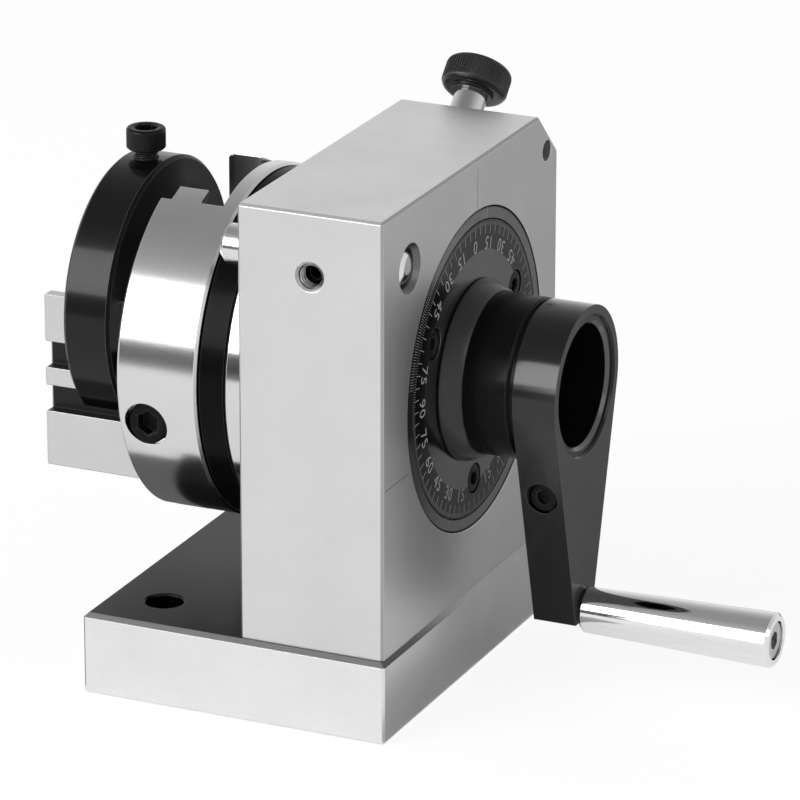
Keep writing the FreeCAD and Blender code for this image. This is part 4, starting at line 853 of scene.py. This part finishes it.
HANDLE_POINT = (0, 2, 18.8)
dress(chrome("handle_chrome", HANDLE_POINT, ALONG_SPINDLE), "handle_sleeve")
dress(turned_steel("pin_turned", HANDLE_POINT, ALONG_SPINDLE, tone=0.5, roughness=0.26), "handle_pin")

# Stop ring: a blacked ring between the drum and the spindle's flange.
dress(blacked_steel("stop_ring_black", AXIS_POINT, ALONG_SPINDLE, tone=0.002, shine=0.05, coat=0.05),
      "stop_ring")

# Drum: a ground steel cylinder with the slot for the V-block across its face. Four sunk cap
# screws hold it to the flange.
dress(turned_steel("drum_ground", AXIS_POINT, ALONG_SPINDLE, tone=0.74, roughness=0.16, spacing=9000.0,
                   strength=0.02), "drum")
DRUM_SCREW_SEAT, DRUM_SCREW_Y, DRUM_SCREW_Z = -29.3, 26.05, 21.85

drum_screws = bmesh.new()
for y in (-DRUM_SCREW_Y, DRUM_SCREW_Y):
    for z in (-DRUM_SCREW_Z, DRUM_SCREW_Z):
        seat = Vector(AXIS_POINT) + Vector((DRUM_SCREW_SEAT, y, z))
        add_cap_screw(drum_screws, seat, (-1, 0, 0), head=(8.5, 5), shank=(5, 27.5), socket=(4, 1.8))
screws = finish_piece("drum_screw_set", drum_screws,
                      blacked_steel("drum_screw_black", AXIS_POINT, ALONG_SPINDLE), "spindle")
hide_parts("drum_screws")

# Slide lock screw: a cap screw in the drum's rim that grips the V-block's tongue.
LOCK_X, LOCK_SEAT, LOCK_HEIGHT = -27.8, -31.99, 64

lock_screw = bmesh.new()
add_cap_screw(lock_screw, (LOCK_X, LOCK_SEAT, LOCK_HEIGHT), FORWARD, head=(10, 6), shank=(6, 19.8),
              socket=(5, 3))
screw = finish_piece("lock_cap_screw", lock_screw,
                     blacked_steel("lock_screw_black", (LOCK_X, 0, LOCK_HEIGHT), BACKWARD), "lock_screw")
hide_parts("slide_lock_screw")

# V-block: a ground block with a V seat for the punch and two grooves along each side, whose
# walls are coloured near black. Its tongue slides up and down in the drum's slot.
GROOVE_FLOORS, GROOVE_TALL = (0.0576, 0.0685), 0.0065
WAIST_HALF, BLOCK_HALF, BLOCK_Y = 0.0225, 0.026, 0.002


def in_grooves(tree, coords):
    """Mask of the side grooves' walls, which are coloured near black."""
    place = add(tree, "ShaderNodeSeparateXYZ", {0: coords.outputs["Object"]}).outputs
    facing_x = do_math(tree, "ABSOLUTE", normal_part(tree, coords, "X"))
    inside = 0.0
    for groove_floor in GROOVE_FLOORS:
        middle = groove_floor + GROOVE_TALL / 2
        band = do_math(tree, "COMPARE", place["Z"], middle, GROOVE_TALL / 2 + 0.00002)
        inside = do_math(tree, "MAXIMUM", band, inside)
    aside = do_math(tree, "ABSOLUTE", do_math(tree, "SUBTRACT", place["Y"], BLOCK_Y))
    walls = do_math(tree, "MULTIPLY", step_mask(tree, aside, WAIST_HALF, WAIST_HALF + 2 * STEP),
                    step_mask(tree, aside, BLOCK_HALF - 0.00003, BLOCK_HALF - 0.00006))
    walls = do_math(tree, "MULTIPLY", inside, walls)
    return do_math(tree, "MULTIPLY", walls, step_mask(tree, facing_x, 0.6, 0.4))


dress(ground_steel("vee_ground", (9000, 9000, 300), tone=0.66, roughness=0.3, dark_zone=in_grooves,
                   edge_tone=0.3), "v_block")

# Clamp yoke: a blacked, turned ring with its middle cut away, hooked into the V-block's
# grooves. Its centre is above the spindle's.
YOKE_CENTRE = (0, 2, 82)
dress(blacked_steel("yoke_black", YOKE_CENTRE, ALONG_SPINDLE, tone=0.003, worn=0.9, coat=0.42), "clamp_yoke")

# Clamp screw: a knurled cap screw through the top of the yoke presses the punch into the V.
CLAMP_X, CLAMP_Y, CLAMP_SEAT = -47.4, 2, 116.9

clamp_screw = bmesh.new()
add_cap_screw(clamp_screw, (CLAMP_X, CLAMP_Y, CLAMP_SEAT), UPWARD, head=(9.4, 5.2), shank=(6, 30),
              socket=(5, 3), ridge_depth=0.14)
screw = finish_piece("clamp_cap_screw", clamp_screw,
                     blacked_steel("clamp_screw_black", (CLAMP_X, CLAMP_Y, 0), UPWARD, tone=0.005),
                     "yoke_screw")
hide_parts("clamp_screw")

# Index plunger: a polished pin with a tapered tip, pushed into the index disc by a spring
# under a threaded plug, and pulled out by its knurled black knob.
SLOPE = math.sqrt(0.5)
ALONG_PLUNGER = (0, SLOPE, SLOPE)
PLUNGER_POINT = (14.3, 2, 74)
dress(turned_steel("plunger_polished", PLUNGER_POINT, ALONG_PLUNGER, tone=0.64, roughness=0.08),
      "index_plunger")
dress(turned_steel("plug_turned", PLUNGER_POINT, ALONG_PLUNGER, tone=0.6, roughness=0.3), "plunger_plug")
dress(turned_steel("spring_wire", PLUNGER_POINT, ALONG_PLUNGER, tone=0.35, roughness=0.3), "plunger_spring")


RIM_STEPS = 5


def rim(height, reach, bend, first, last):
    """Rows that round an edge, between two angles from the outward direction."""
    turns = [math.radians(first + (last - first) * step / RIM_STEPS) for step in range(RIM_STEPS + 1)]
    return [(height + bend * math.sin(turn), plain(reach - bend + bend * math.cos(turn))) for turn in turns]


KNOB_RIDGES, KNOB_FOOT, KNOB_TOP = 72, 70.4, 78.2
KNOB_NECK, KNOB_REACH = 5.2, 8.05
knurl = knurled(KNOB_REACH + 0.05, KNOB_RIDGES, 0.3)
knob = bmesh.new()
stack(knob, facing(PLUNGER_POINT, ALONG_PLUNGER), [
    (KNOB_FOOT, None), (KNOB_FOOT, plain(KNOB_NECK)), (71.2, plain(KNOB_NECK)),
    *rim(72.9, KNOB_REACH, 1.7, -90, -25), (72.6, knurl), (76.9, knurl), *rim(76.9, KNOB_REACH, 1.3, 25, 90),
    (KNOB_TOP, None)], corners=4 * KNOB_RIDGES)
knob = finish_piece("knurled_knob", knob,
                    blacked_steel("knob_black", PLUNGER_POINT, ALONG_PLUNGER, tone=0.006, roughness=0.24,
                                  shine=0.4),
                    "plunger")
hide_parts("plunger_knob")

# Stop pin and set screws: the domed pin passes through the upright beside the drum, held by
# a set screw from the front. Another set screw holds the plunger's plug.
dress(turned_steel("stop_pin_polished", (0, PIN_Y, PIN_HEIGHT), ALONG_SPINDLE, tone=0.8, roughness=0.16),
      "stop_pin")
dress(blacked_steel("set_screw_black", (UPRIGHT_MIDDLE, 0, PIN_HEIGHT), BACKWARD, tone=0.003, shine=0.05,
                    coat=0.0), "stop_pin_screw", "plug_screw")
